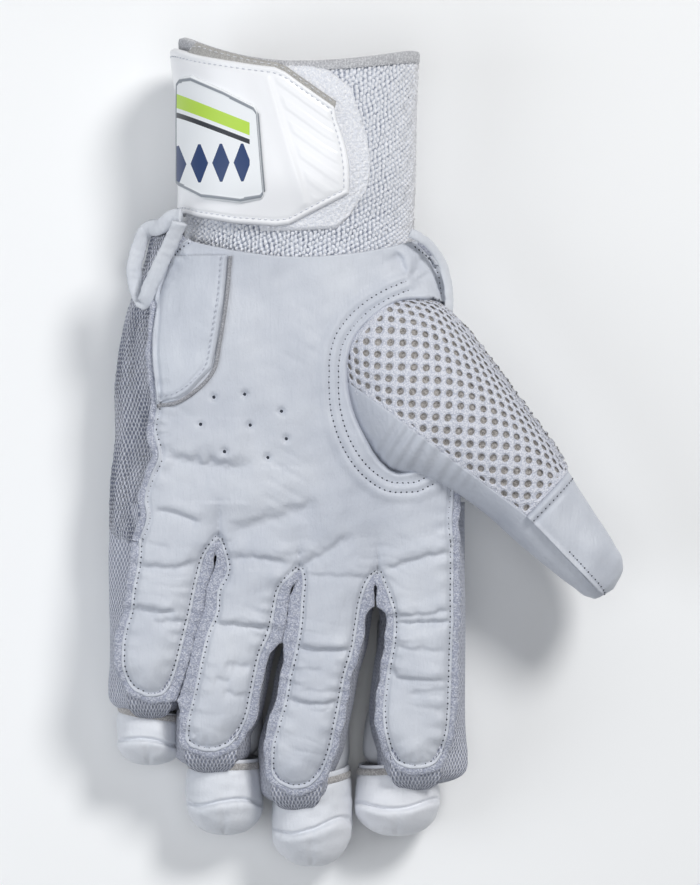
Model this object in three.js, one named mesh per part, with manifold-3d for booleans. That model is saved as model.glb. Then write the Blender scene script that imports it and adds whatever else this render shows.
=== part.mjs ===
// A left-hand cricket batting glove, lying on the rolls of its back with the palm up.
// Millimetres, +X towards the thumb, +Y towards the cuff, +Z up out of the palm.
// Until the last lines the model is measured from the middle of the wrist seam.
import * as THREE from 'three';
import { mergeVertices } from 'three/addons/utils/BufferGeometryUtils.js';
import Module from 'manifold-3d';

const wasm = await Module();
wasm.setup();

// Walls and clearances
const LEATHER = 1.4; // palm, fingers and thumb leather
const KNIT = 2.2; // knitted back of the hand and finger gussets
const TOWELLING = 3.4; // cuff wall
const STRAP_WALL = 1.8; // moulded strap
const TAPE_WALL = 1.0; // hook backing and loop patch
const PATCH_WALL = 1.2; // heel patch and badge plate
const GAP = 0.3; // clearance between sewn pieces

// Hand
const PALM_WIDTH = 105; // palm leather at the knuckles
const PALM_LENGTH = 100; // wrist seam to the finger roots
const SEAM_HEIGHT = 45; // where palm leather meets knit, above the ground
const BACK_PADDING = 20; // rolls under the hand at the knuckles
const RIM_REACH = 6.5; // how far the knitted back passes the wrist seam

// Fingers
const FINGER_LENGTH = 80; // middle finger, root to leather end
const FINGER_WIDTH = 20.6; // leather strip of a finger
const GUSSET_SWELL = 6; // how far a gusset swells past the leather strip
const FINGER_SEAM_HEIGHT = 38; // leather seam at the finger end, above the ground
const FINGER_PADDING = 17; // roll under a finger end
const ROLL_WIDTH = 25.6;
const CAP_LENGTH = 24;
const CAP_WIDTH = 27;
const CAP_HEIGHT = 31;
const CAP_STANDOFF = 2.5; // from a finger's leather end to its cap's mouth

// Thumb
const THUMB_LENGTH = 153; // wrist seam to thumb end, along the thumb
const THUMB_WIDTH = 46; // across the thumb's root
const THUMB_MIDDLE = 42; // height of the thumb's widest line
const THUMB_CROWN = 20; // root's rise above that line
const THUMB_DEPTH = 18; // root's fall below that line
const THUMB_ANGLE = -43.8; // degrees from +X
const THUMB_PAD_DEPTH = 15;

// Cuff and strap
const CUFF_WIDTH = 79;
const CUFF_HEIGHT = 58; // opening's outer height at the free edge
const CUFF_LENGTH = 60; // wrist seam to the lowest point of the free edge
const FREE_EDGE_LEFT = 9; // how much the free edge climbs towards its left side
const FREE_EDGE_RIGHT = 4.5; // and towards its right side
const CUFF_TUCK = 6; // length tucked inside the hand
const CUFF_MIDDLE = 33; // height of the cuff's axis
const EDGE_TAPE = 2.4; // tape that binds the free edge
const STRAP_WIDTH = 52;
const STRAP_START = 8; // strap's edge above the wrist seam
const STRAP_END = 18; // strap's free end, right of the middle

// Small pieces
const VENT_RADIUS = 1.0;
const BINDING_RADIUS = 2.6;

// Points round a section
const HAND_STEPS = 24;
const FINGER_STEPS = 12;
const CUFF_STEPS = 24;
const THUMB_STEPS = 16;
const PAD_STEPS = 10;

const UP = new THREE.Vector3(0, 0, 1);
const lerp = THREE.MathUtils.lerp;

// Solids

function solidOf(geometry) {
  const bare = geometry.index ? geometry.toNonIndexed() : geometry.clone();
  for (const name of Object.keys(bare.attributes)) if (name !== 'position') bare.deleteAttribute(name);
  const merged = mergeVertices(bare, 1e-4);
  return new wasm.Manifold(
    new wasm.Mesh({
      numProp: 3,
      vertProperties: merged.attributes.position.array,
      triVerts: new Uint32Array(merged.index.array),
    }),
  );
}

function geometryOf(solid) {
  const mesh = solid.getMesh();
  const geometry = new THREE.BufferGeometry();
  const positions = new Float32Array(mesh.numVert * 3);
  for (let i = 0; i < mesh.numVert; i++) {
    positions.set(mesh.vertProperties.subarray(i * mesh.numProp, i * mesh.numProp + 3), i * 3);
  }
  geometry.setAttribute('position', new THREE.BufferAttribute(positions, 3));
  geometry.setIndex(new THREE.BufferAttribute(mesh.triVerts, 1));
  geometry.computeVertexNormals();
  return geometry;
}

// The solid without the crumbs that a cut can leave beside it.
function wholeOf(solid) {
  return solid.decompose().reduce((large, body) => (body.volume() > large.volume() ? body : large));
}

// A closed solid through loops of equally many points, each end closed by a fan.
function loft(loops) {
  const count = loops[0].length;
  const points = loops.flat();
  const middle = (loop) => loop.reduce((sum, p) => sum.add(p), new THREE.Vector3()).divideScalar(count);
  points.push(middle(loops[0]), middle(loops.at(-1)));
  const first = points.length - 2;
  const last = points.length - 1;
  const faces = [];
  for (let row = 0; row < loops.length - 1; row++) {
    for (let i = 0; i < count; i++) {
      const next = (i + 1) % count;
      const a = row * count + i;
      const b = row * count + next;
      faces.push(a, b, b + count, a, b + count, a + count);
    }
  }
  const end = (loops.length - 1) * count;
  for (let i = 0; i < count; i++) {
    const next = (i + 1) % count;
    faces.push(first, next, i, last, end + i, end + next);
  }
  const geometry = new THREE.BufferGeometry().setFromPoints(points);
  geometry.setIndex(faces);
  if (volumeOf(points, faces) < 0) {
    for (let i = 0; i < faces.length; i += 3) [faces[i + 1], faces[i + 2]] = [faces[i + 2], faces[i + 1]];
    geometry.setIndex(faces);
  }
  return solidOf(geometry);
}

function volumeOf(points, faces) {
  let sum = 0;
  const cross = new THREE.Vector3();
  for (let i = 0; i < faces.length; i += 3) {
    sum += points[faces[i]].dot(cross.crossVectors(points[faces[i + 1]], points[faces[i + 2]]));
  }
  return sum;
}

// A flat outline of [a, b] points pushed along an axis: 'z' takes x and y, 'x' takes y and z.
function prism(outline, axis, from, to) {
  const shape = new THREE.Shape(outline.map(([a, b]) => new THREE.Vector2(a, b)));
  const geometry = new THREE.ExtrudeGeometry(shape, { depth: to - from, bevelEnabled: false });
  geometry.translate(0, 0, from);
  if (axis === 'x') geometry.rotateZ(Math.PI / 2).rotateY(Math.PI / 2);
  return solidOf(geometry);
}

// Sections

// One section of a soft tube as [side, height] points. row.left and row.right are the seam's two
// sides at height row.seam. Above it the crown arches by row.crown, below it the wall swells by
// row.swell[0] and row.swell[1] and goes down to row.floor.
function sectionPoints(row, steps) {
  const middle = (row.left + row.right) / 2;
  const half = (row.right - row.left) / 2;
  const points = [];
  for (let i = 0; i < steps; i++) {
    const angle = (2 * Math.PI * i) / steps;
    const across = Math.cos(angle);
    const height = Math.abs(Math.sin(angle));
    if (angle <= Math.PI) {
      const side = Math.sign(across) * Math.abs(across) ** (row.topSquare ?? 0.8);
      points.push([middle + half * side, row.seam + row.crown * height ** 0.9]);
    } else {
      const swell = row.swell[across < 0 ? 0 : 1];
      const side = Math.sign(across) * Math.abs(across) ** (row.square ?? 0.4);
      points.push([middle + (half + swell * height) * side, row.seam - (row.seam - row.floor) * height ** 0.7]);
    }
  }
  return points;
}

// The section moved outwards by grow(height share), or inwards where that is negative.
function offsetPoints(points, growTop, growBottom) {
  const count = points.length;
  return points.map(([side, height], i) => {
    const before = points[(i + count - 1) % count];
    const after = points[(i + 1) % count];
    const along = new THREE.Vector2(after[0] - before[0], after[1] - before[1]).normalize();
    const grow = i * 2 <= count && i > 0 ? growTop : growBottom;
    return [side + along.y * grow, height - along.x * grow];
  });
}

// A tube along a flat direction: rows give where each section lies along it.
function tube(direction, rows, { top = 0, bottom = top, steps = THUMB_STEPS, start = 0, end = 0 } = {}) {
  const side = new THREE.Vector3().crossVectors(UP, direction);
  if (side.x < 0) side.negate();
  const loops = rows.map((row, index) => {
    const push = index === 0 ? -start : index === rows.length - 1 ? end : 0;
    return offsetPoints(sectionPoints(row, steps), top, bottom).map(([across, height]) => {
      const lift = row.lift ? row.lift[across < 0 ? 0 : 1] * (across / row.right) ** 2 : 0;
      return direction
        .clone()
        .multiplyScalar(row.at + push + lift)
        .addScaledVector(side, across)
        .addScaledVector(UP, height);
    });
  });
  return loft(loops);
}

const TO_FINGERS = new THREE.Vector3(0, -1, 0);
const TO_CUFF = new THREE.Vector3(0, 1, 0);
const TO_THUMB = new THREE.Vector3(1, 0, 0).applyAxisAngle(UP, THREE.MathUtils.degToRad(THUMB_ANGLE));

// The hand, from the rim at the wrist to the finger roots. Lengths are shares: at of PALM_LENGTH
// (of RIM_REACH before the wrist seam), sides and swells of PALM_WIDTH, seam and crown of
// SEAM_HEIGHT, padding of BACK_PADDING.
const HAND_TABLE = [
  { at: -1.0, left: -0.4, right: 0.39, swellLeft: 0.2, swellRight: 0.05, seam: 0.8, crown: 0.42, padding: 0.42 },
  { at: 0.0, left: -0.4, right: 0.415, swellLeft: 0.23, swellRight: 0.12, seam: 0.84, crown: 0.36, padding: 0.5 },
  { at: 0.12, left: -0.43, right: 0.45, swellLeft: 0.25, swellRight: 0.1, seam: 0.93, crown: 0.25, padding: 0.62 },
  { at: 0.24, left: -0.46, right: 0.48, swellLeft: 0.26, swellRight: 0.08, seam: 1.0, crown: 0.19, padding: 0.75 },
  { at: 0.42, left: -0.465, right: 0.5, swellLeft: 0.3, swellRight: 0.06, seam: 1.02, crown: 0.17, padding: 0.85 },
  { at: 0.6, left: -0.452, right: 0.502, swellLeft: 0.32, swellRight: 0.08, seam: 1.02, crown: 0.15, padding: 0.95 },
  { at: 0.78, left: -0.482, right: 0.502, swellLeft: 0.3, swellRight: 0.1, seam: 1.0, crown: 0.13, padding: 1.0 },
  { at: 0.96, left: -0.51, right: 0.502, swellLeft: 0.26, swellRight: 0.11, seam: 0.97, crown: 0.11, padding: 1.0 },
];

function handAt(at) {
  return at < 0 ? at * RIM_REACH : at * PALM_LENGTH;
}

function handRows() {
  return HAND_TABLE.map((row) => ({
    at: handAt(row.at),
    left: row.left * PALM_WIDTH,
    right: row.right * PALM_WIDTH,
    swell: [row.swellLeft * PALM_WIDTH, row.swellRight * PALM_WIDTH],
    seam: row.seam * SEAM_HEIGHT,
    crown: row.crown * SEAM_HEIGHT,
    floor: row.padding * BACK_PADDING,
    topSquare: 0.75,
  }));
}

// Fingers, from the little finger to the index. root, bend and end are the middle of the leather
// strip as shares of PALM_WIDTH, wide is a share of FINGER_WIDTH, length of FINGER_LENGTH. left and
// right are the swells at the root and at the end, of GUSSET_SWELL. cap is the cap's middle.
const FINGERS = [
  { name: 'little', root: -0.4, bend: -0.45, end: -0.472, wide: 1.03, length: 0.625,
    left: [3, 1.2], right: [1, 1], cap: -0.48, capWidth: 0.84, capReach: 0.87 },
  { name: 'ring', root: -0.122, bend: -0.2, end: -0.272, wide: 1.08, length: 0.84,
    left: [1, 1], right: [1, 1], cap: -0.236, capWidth: 0.98, capReach: 1.13 },
  { name: 'middle', root: 0.132, bend: 0.08, end: -0.008, wide: 0.97, length: 1.0,
    left: [1, 1], right: [1, 1.2], cap: 0.046, capWidth: 1.02, capReach: 1.05 },
  { name: 'index', root: 0.39, bend: 0.39, end: 0.38, wide: 1.06, length: 0.9,
    left: [1, 1.2], right: [1.8, 1.5], cap: 0.32, capWidth: 1.06, capReach: 0.93 },
];

// Stations along a finger: at is a share of its length, wide and rise are shares that round its end.
const FINGER_TABLE = [
  { at: -0.22, wide: 1.14, rise: 0.0, crown: 0.9 },
  { at: 0.0, wide: 1.14, rise: 0.0, crown: 0.9 },
  { at: 0.14, wide: 1.02, rise: 0.0, crown: 0.7 },
  { at: 0.36, wide: 0.98, rise: 0.0, crown: 1.0 },
  { at: 0.52, wide: 0.98, rise: 0.0, crown: 0.75 },
  { at: 0.7, wide: 1.0, rise: 0.0, crown: 1.0 },
  { at: 0.9, wide: 0.95, rise: 0.05, crown: 0.9 },
  { at: 0.97, wide: 0.74, rise: 0.2, crown: 0.7 },
  { at: 1.0, wide: 0.42, rise: 0.4, crown: 0.4 },
];
const FINGER_CROWN = 0.22; // of FINGER_WIDTH

function fingerMiddle(finger, at) {
  const share = THREE.MathUtils.clamp(at, -0.3, 1);
  const line = share < 0.5 ? lerp(finger.root, finger.bend, share * 2) : lerp(finger.bend, finger.end, share * 2 - 1);
  return line * PALM_WIDTH;
}

function fingerRows(finger) {
  const length = finger.length * FINGER_LENGTH;
  return FINGER_TABLE.map((row) => {
    const middle = fingerMiddle(finger, row.at);
    const along = THREE.MathUtils.clamp(row.at, 0, 1);
    const seam = lerp(SEAM_HEIGHT * 0.96, FINGER_SEAM_HEIGHT, along);
    const floor = lerp(BACK_PADDING, FINGER_PADDING, along);
    const half = (row.wide * finger.wide * FINGER_WIDTH) / 2;
    return {
      at: PALM_LENGTH + row.at * length,
      left: middle - half,
      right: middle + half,
      swell: [finger.left, finger.right].map(([root, end]) => row.wide * GUSSET_SWELL * lerp(root, end, along)),
      seam,
      crown: row.crown * FINGER_CROWN * FINGER_WIDTH,
      floor: lerp(floor, seam, row.rise),
    };
  });
}

// Thumb stations: at is a share of THUMB_LENGTH, left and right of THUMB_WIDTH, from the
// thumb's line, crown of THUMB_CROWN and depth of THUMB_DEPTH.
const THUMB_TABLE = [
  { at: 0.205, left: -0.24, right: 0.22, crown: 0.5, depth: 0.6 },
  { at: 0.24, left: -0.38, right: 0.32, crown: 0.72, depth: 0.8 },
  { at: 0.29, left: -0.52, right: 0.44, crown: 0.88, depth: 0.92 },
  { at: 0.36, left: -0.64, right: 0.465, crown: 1.0, depth: 1.0 },
  { at: 0.46, left: -0.69, right: 0.425, crown: 1.05, depth: 1.0 },
  { at: 0.53, left: -0.58, right: 0.385, crown: 1.0, depth: 0.97 },
  { at: 0.61, left: -0.475, right: 0.335, crown: 0.92, depth: 0.93 },
  { at: 0.7, left: -0.425, right: 0.28, crown: 0.78, depth: 0.87 },
  { at: 0.775, left: -0.42, right: 0.2, crown: 0.64, depth: 0.8 },
  { at: 0.86, left: -0.4, right: 0.13, crown: 0.52, depth: 0.68 },
  { at: 0.945, left: -0.37, right: 0.06, crown: 0.4, depth: 0.5 },
  { at: 0.985, left: -0.345, right: 0.01, crown: 0.26, depth: 0.34 },
  { at: 1.0, left: -0.28, right: -0.06, crown: 0.1, depth: 0.14 },
];

function thumbRows() {
  return THUMB_TABLE.map((row) => ({
    at: row.at * THUMB_LENGTH,
    left: row.left * THUMB_WIDTH,
    right: row.right * THUMB_WIDTH,
    swell: [0, 0],
    seam: THUMB_MIDDLE,
    crown: row.crown * THUMB_CROWN,
    floor: THUMB_MIDDLE - row.depth * THUMB_DEPTH,
    square: 0.8,
    topSquare: 1,
  }));
}

// Cuff stations: at is a share of CUFF_LENGTH, left and right of CUFF_WIDTH, high of CUFF_HEIGHT.
const CUFF_TABLE = [
  { at: 0.0, left: -0.475, right: 0.485, high: 0.64 },
  { at: 0.14, left: -0.475, right: 0.49, high: 0.7 },
  { at: 0.36, left: -0.467, right: 0.5, high: 0.88 },
  { at: 0.7, left: -0.467, right: 0.505, high: 0.95 },
  { at: 1.0, left: -0.5, right: 0.515, high: 1.0 },
];

function cuffRow(row, at) {
  const rise = (row.high * CUFF_HEIGHT) / 2;
  return {
    at,
    left: row.left * CUFF_WIDTH,
    right: row.right * CUFF_WIDTH,
    swell: [0, 0],
    seam: CUFF_MIDDLE,
    crown: rise,
    floor: CUFF_MIDDLE - rise,
    square: 0.9,
    topSquare: 0.9,
    lift: [FREE_EDGE_LEFT, FREE_EDGE_RIGHT].map((rise) => rise * THREE.MathUtils.clamp(at / CUFF_LENGTH, 0, 1) ** 3),
  };
}

function cuffRows(extra) {
  const rows = CUFF_TABLE.map((row) => cuffRow(row, row.at * CUFF_LENGTH));
  rows.unshift(cuffRow(CUFF_TABLE[0], -CUFF_TUCK));
  if (extra) rows.push({ ...cuffRow(CUFF_TABLE.at(-1), CUFF_LENGTH), at: CUFF_LENGTH + extra });
  return rows;
}

// The hollow body: outer and inner solids of the hand and of each finger

const FAR = 150; // past everything, for cutting solids
const handOuter = tube(TO_FINGERS, handRows(), { steps: HAND_STEPS });
const handGrown = tube(TO_FINGERS, handRows(), { top: GAP, steps: HAND_STEPS, start: GAP, end: GAP });
const handHollow = tube(TO_FINGERS, handRows(), {
  top: -LEATHER,
  bottom: -KNIT,
  steps: HAND_STEPS,
  start: GAP,
  end: -KNIT,
});
const fingerOuters = FINGERS.map((finger) => tube(TO_FINGERS, fingerRows(finger), { steps: FINGER_STEPS }));
const fingerGrowns = FINGERS.map((finger) => tube(TO_FINGERS, fingerRows(finger), { top: GAP, steps: FINGER_STEPS, end: GAP }));
const fingerHollows = FINGERS.map((finger) =>
  tube(TO_FINGERS, fingerRows(finger), { top: -LEATHER, bottom: -KNIT, steps: FINGER_STEPS, start: KNIT, end: -KNIT }),
);
const thumbOuter = tube(TO_THUMB, thumbRows());
const thumbGrown = tube(TO_THUMB, thumbRows(), { top: GAP, end: GAP });
const thumbHollow = tube(TO_THUMB, thumbRows(), { top: -LEATHER, start: KNIT, end: -LEATHER });
const hollow = wasm.Manifold.union([handHollow, ...fingerHollows]);

// Everything above a tube's seam, raised by lift.
function aboveSeam(rows, lift) {
  const reach = GUSSET_SWELL * 4;
  const loops = rows.map((row) =>
    [
      [row.left - reach, row.seam + lift],
      [row.right + reach, row.seam + lift],
      [row.right + reach, FAR],
      [row.left - reach, FAR],
    ].map(([side, height]) => new THREE.Vector3(side, -row.at, height)),
  );
  loops[0].forEach((point) => (point.y += GAP * 2));
  loops.at(-1).forEach((point) => (point.y -= GAP * 2));
  return loft(loops);
}

// The strip of ground that belongs to one finger, between the lines halfway to its neighbours.
function fingerLane(index) {
  const first = HAND_TABLE.at(-1).at * PALM_LENGTH + GAP;
  const last = PALM_LENGTH + FINGER_LENGTH * 1.1;
  const stations = [0, 0.1, 0.2, 0.35, 0.5, 0.75, 1].map((share) => lerp(first, last, share));
  const middleAt = (finger, at) => fingerMiddle(finger, (at - PALM_LENGTH) / (finger.length * FINGER_LENGTH));
  const border = (low, high, at) => (middleAt(FINGERS[low], at) + middleAt(FINGERS[high], at)) / 2;
  const left = stations.map((at) => [index ? border(index - 1, index, at) + GAP / 2 : -FAR, -at]);
  const right = stations.map((at) => [index < 3 ? border(index, index + 1, at) - GAP / 2 : FAR, -at]);
  return prism([...left, ...right.reverse()], 'z', -FAR, FAR);
}

// Palm: one leather with the fronts of the four fingers

const VENTS = [
  // across is a share of PALM_WIDTH, at a share of PALM_LENGTH
  { across: -0.263, at: 0.487 },
  { across: -0.165, at: 0.477 },
  { across: -0.049, at: 0.534 },
  { across: -0.305, at: 0.578 },
  { across: -0.149, at: 0.58 },
  { across: -0.033, at: 0.625 },
  { across: -0.229, at: 0.668 },
  { across: -0.092, at: 0.688 },
];
const WRIST_EDGE_RISE = 5; // how much the palm's wrist edge climbs towards its sides
const WRIST_EDGE_DIP = 2; // how far below the wrist seam its middle lies

function pastWristEdge() {
  const half = PALM_WIDTH * 0.7;
  const edge = [-1, -0.75, -0.5, -0.25, 0, 0.25, 0.5, 0.75, 1].map((share) => [
    share * half,
    WRIST_EDGE_RISE * (share / 0.6) ** 2 - WRIST_EDGE_DIP,
  ]);
  return prism([...edge, [half, FAR], [-half, FAR]], 'z', -FAR, FAR);
}

function ventHoles() {
  return VENTS.map(({ across, at }) => {
    const hole = new THREE.CylinderGeometry(VENT_RADIUS, VENT_RADIUS, FAR, 6);
    hole.rotateX(Math.PI / 2).translate(across * PALM_WIDTH, -at * PALM_LENGTH, FAR / 2 + SEAM_HEIGHT * 0.9);
    return solidOf(hole);
  });
}

function palmLeather() {
  const palm = aboveSeam(handRows(), GAP / 2);
  const hand = handOuter.subtract(hollow).intersect(palm);
  const fronts = FINGERS.map((finger, i) =>
    fingerOuters[i].subtract(hollow).intersect(aboveSeam(fingerRows(finger), GAP / 2)),
  );
  const back = handGrown.subtract(palm);
  return wholeOf(
    wasm.Manifold.union([hand, ...fronts.map((front) => front.subtract(back))])
      .subtract(thumbGrown)
      .subtract(pastWristEdge())
      .subtract(wasm.Manifold.union(ventHoles())),
  );
}

// Knitted back of the hand, and a gusset round the sides and back of each finger

function handBack() {
  return handOuter.subtract(hollow).subtract(aboveSeam(handRows(), -GAP / 2)).subtract(thumbGrown);
}

function gusset(index) {
  return fingerOuters[index]
    .subtract(hollow)
    .subtract(aboveSeam(fingerRows(FINGERS[index]), -GAP / 2))
    .intersect(fingerLane(index));
}

// Rolls: stuffed tubes along the back, nipped where they bend, flat where they rest

const ROLL_TABLE = [
  // at is a share of the roll's length, full of its width and thickness
  { at: 0.0, full: 0.65 },
  { at: 0.07, full: 0.95 },
  { at: 0.27, full: 0.95 },
  { at: 0.33, full: 0.76 },
  { at: 0.39, full: 0.95 },
  { at: 0.61, full: 0.95 },
  { at: 0.67, full: 0.76 },
  { at: 0.73, full: 0.95 },
  { at: 0.93, full: 0.95 },
  { at: 1.0, full: 0.65 },
];
const REST_DEPTH = 1.2; // how far a roll is flattened where it rests
const ground = prism([[-FAR, -FAR * 2], [FAR, -FAR * 2], [FAR, FAR], [-FAR, FAR]], 'z', -FAR, 0);

function roll(from, to, middleAt, widthAt, topAt, carved) {
  const rows = ROLL_TABLE.map(({ at, full }) => {
    const top = topAt(at);
    const half = (widthAt(at) / 2) * lerp(0.85, 1, (full - 0.62) / 0.38);
    return {
      at: lerp(from, to, at),
      left: middleAt(at) - half,
      right: middleAt(at) + half,
      swell: [0, 0],
      seam: top * 0.55,
      crown: top * 0.45,
      floor: top * 0.55 - (top * 0.55 + REST_DEPTH) * full,
      square: 0.7,
      topSquare: 0.5,
    };
  });
  return tube(TO_FINGERS, rows, { steps: PAD_STEPS }).subtract(wasm.Manifold.union([ground, ...carved]));
}

const ROLL_RISE = 4; // how far a roll climbs past the bottom of what it carries

function capStart(finger) {
  return PALM_LENGTH + finger.length * FINGER_LENGTH + CAP_STANDOFF;
}

function fingerRoll(index) {
  const finger = FINGERS[index];
  const from = HAND_TABLE.at(-1).at * PALM_LENGTH - GAP;
  const to = capStart(finger) - GAP;
  return roll(
    from,
    to,
    (at) => lerp(fingerMiddle(finger, at * 0.9), finger.cap * PALM_WIDTH, at ** 2),
    (at) => ROLL_WIDTH * lerp(1, Math.min(1, finger.capWidth), at),
    (at) => lerp(BACK_PADDING, FINGER_PADDING, at) + ROLL_RISE,
    [handGrown, fingerGrowns[index]],
  );
}

const BACK_ROLL_WRIST = 0.93; // the back rolls' pitch at the wrist, of that at the knuckles
const BACK_ROLL_START = 2; // from the wrist seam

function backRoll(index) {
  const finger = FINGERS[index];
  const to = HAND_TABLE.at(-1).at * PALM_LENGTH - GAP * 2;
  const paddings = handRows().map(({ at, floor }) => [at, floor]);
  const paddingAt = (share) => {
    const at = lerp(BACK_ROLL_START, to, share);
    const next = paddings.findIndex(([station]) => station >= at);
    const [[a, low], [b, high]] = [paddings[next - 1], paddings[next]];
    return lerp(low, high, (at - a) / (b - a));
  };
  return roll(
    BACK_ROLL_START,
    to - GAP,
    (at) => finger.root * PALM_WIDTH * lerp(BACK_ROLL_WRIST, 1, at),
    (at) => ROLL_WIDTH * lerp(BACK_ROLL_WRIST, 1, at),
    (at) => paddingAt(at) + ROLL_RISE,
    [handGrown],
  );
}

// Caps: padded leather hoods over the finger ends

const CAP_TABLE = [
  // at is a share of the cap's length, wide of CAP_WIDTH, high of CAP_HEIGHT
  { at: 0.0, wide: 0.95, high: 0.92 },
  { at: 0.3, wide: 1.0, high: 1.0 },
  { at: 0.55, wide: 0.97, high: 0.97 },
  { at: 0.75, wide: 0.84, high: 0.87 },
  { at: 0.9, wide: 0.6, high: 0.67 },
  { at: 0.98, wide: 0.3, high: 0.4 },
];

function cap(index) {
  const finger = FINGERS[index];
  const middle = finger.cap * PALM_WIDTH;
  const length = finger.capReach * CAP_LENGTH - CAP_STANDOFF;
  const rows = CAP_TABLE.map(({ at, wide, high }) => {
    const half = (wide * finger.capWidth * CAP_WIDTH) / 2;
    const rise = (high * (CAP_HEIGHT + REST_DEPTH)) / 2;
    return {
      at: capStart(finger) + at * length,
      left: middle - half,
      right: middle + half,
      swell: [0, 0],
      seam: (CAP_HEIGHT - REST_DEPTH) / 2,
      crown: rise,
      floor: (CAP_HEIGHT - REST_DEPTH) / 2 - rise,
      square: 0.75,
      topSquare: 0.8,
    };
  });
  return tube(TO_FINGERS, rows, { steps: THUMB_STEPS }).subtract(
    wasm.Manifold.union([ground, fingerGrowns[index]]),
  );
}

// Thumb: mesh over the outside, a leather tip, and leather along the inside and underneath

const THUMB_TIP_SEAM = 0.765; // of THUMB_LENGTH
const THUMB_SIDE_SEAM = [-0.44, -0.24, -0.26]; // of THUMB_WIDTH: at the root, the tip seam and the end

function thumbZone(from, to, shrink) {
  const seamAt = (at) =>
    at < THUMB_TIP_SEAM
      ? lerp(THUMB_SIDE_SEAM[0], THUMB_SIDE_SEAM[1], (at - 0.28) / (THUMB_TIP_SEAM - 0.28))
      : lerp(THUMB_SIDE_SEAM[1], THUMB_SIDE_SEAM[2], (at - THUMB_TIP_SEAM) / (1 - THUMB_TIP_SEAM));
  const stations = [from, ...[THUMB_TIP_SEAM].filter((at) => at > from && at < to), to];
  const side = stations.map((at) => [at * THUMB_LENGTH, seamAt(at) * THUMB_WIDTH + shrink]);
  const outline = [...side, [to * THUMB_LENGTH, FAR], [from * THUMB_LENGTH, FAR]];
  const turn = THREE.MathUtils.degToRad(THUMB_ANGLE);
  const placed = outline.map(([a, b]) => [
    a * Math.cos(turn) - b * Math.sin(turn),
    a * Math.sin(turn) + b * Math.cos(turn),
  ]);
  return prism(placed, 'z', THUMB_MIDDLE + shrink, FAR);
}

function thumbPieces() {
  const shell = thumbOuter.subtract(wasm.Manifold.union([thumbHollow, handHollow]));
  const clear = GAP / 2;
  const seam = clear / THUMB_LENGTH;
  return {
    thumb_mesh: shell.intersect(thumbZone(0, THUMB_TIP_SEAM - seam, clear)),
    thumb_tip: shell.intersect(thumbZone(THUMB_TIP_SEAM + seam, 1.2, clear)),
    thumb_leather: shell.subtract(thumbZone(0, 1.2, -clear)),
  };
}

function thumbPad() {
  const rows = thumbRows()
    .filter((row) => row.at > 0.65 * THUMB_LENGTH)
    .map((row, i, all) => {
      const full = i === 0 || i === all.length - 1 ? 0.6 : 1;
      const top = row.floor + ROLL_RISE;
      return {
        ...row,
        left: lerp(row.right, row.left, 0.9),
        right: lerp(row.left, row.right, 0.9),
        seam: top - THUMB_PAD_DEPTH * 0.3,
        crown: THUMB_PAD_DEPTH * 0.3,
        floor: top - THUMB_PAD_DEPTH * lerp(0.4, 1, full),
        square: 0.7,
        topSquare: 0.5,
      };
    });
  return tube(TO_THUMB, rows, { steps: PAD_STEPS }).subtract(thumbGrown);
}

// Heel patch: a second leather over the outer heel of the palm

const HEEL_PATCH = [
  // across is a share of PALM_WIDTH, at a share of PALM_LENGTH
  { across: -0.6, at: -0.01 },
  { across: -0.225, at: 0.025 },
  { across: -0.24, at: 0.17 },
  { across: -0.258, at: 0.315 },
  { across: -0.275, at: 0.385 },
  { across: -0.335, at: 0.46 },
  { across: -0.39, at: 0.495 },
  { across: -0.6, at: 0.505 },
];

function heelPatch() {
  const outline = HEEL_PATCH.map(({ across, at }) => [across * PALM_WIDTH, -at * PALM_LENGTH]);
  return tube(TO_FINGERS, handRows(), { top: GAP + PATCH_WALL, bottom: GAP + PATCH_WALL, steps: HAND_STEPS })
    .subtract(handGrown)
    .intersect(prism(outline.reverse(), 'z', -FAR, FAR))
    .intersect(aboveSeam(handRows(), GAP))
    .subtract(pastWristEdge());
}

// Cuff, its edge tape, and the strap's layers round it

function cuffShell(inside, outside) {
  const inner = tube(TO_CUFF, cuffRows(EDGE_TAPE), { top: inside, steps: CUFF_STEPS, start: 2, end: 2 });
  return tube(TO_CUFF, cuffRows(EDGE_TAPE), { top: outside, steps: CUFF_STEPS }).subtract(inner);
}

function cuff() {
  const inner = tube(TO_CUFF, cuffRows(), { top: -TOWELLING, steps: CUFF_STEPS, start: 2, end: 2 });
  return tube(TO_CUFF, cuffRows(), { steps: CUFF_STEPS }).subtract(inner);
}

function edgeTape() {
  const last = cuffRows().at(-1);
  const rows = [
    { ...last, at: CUFF_LENGTH + GAP },
    { ...last, at: CUFF_LENGTH + EDGE_TAPE },
  ];
  const inner = tube(TO_CUFF, rows, { top: -TOWELLING, steps: CUFF_STEPS, start: 2, end: 2 });
  return tube(TO_CUFF, rows, { top: 0, steps: CUFF_STEPS }).subtract(inner);
}

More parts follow.
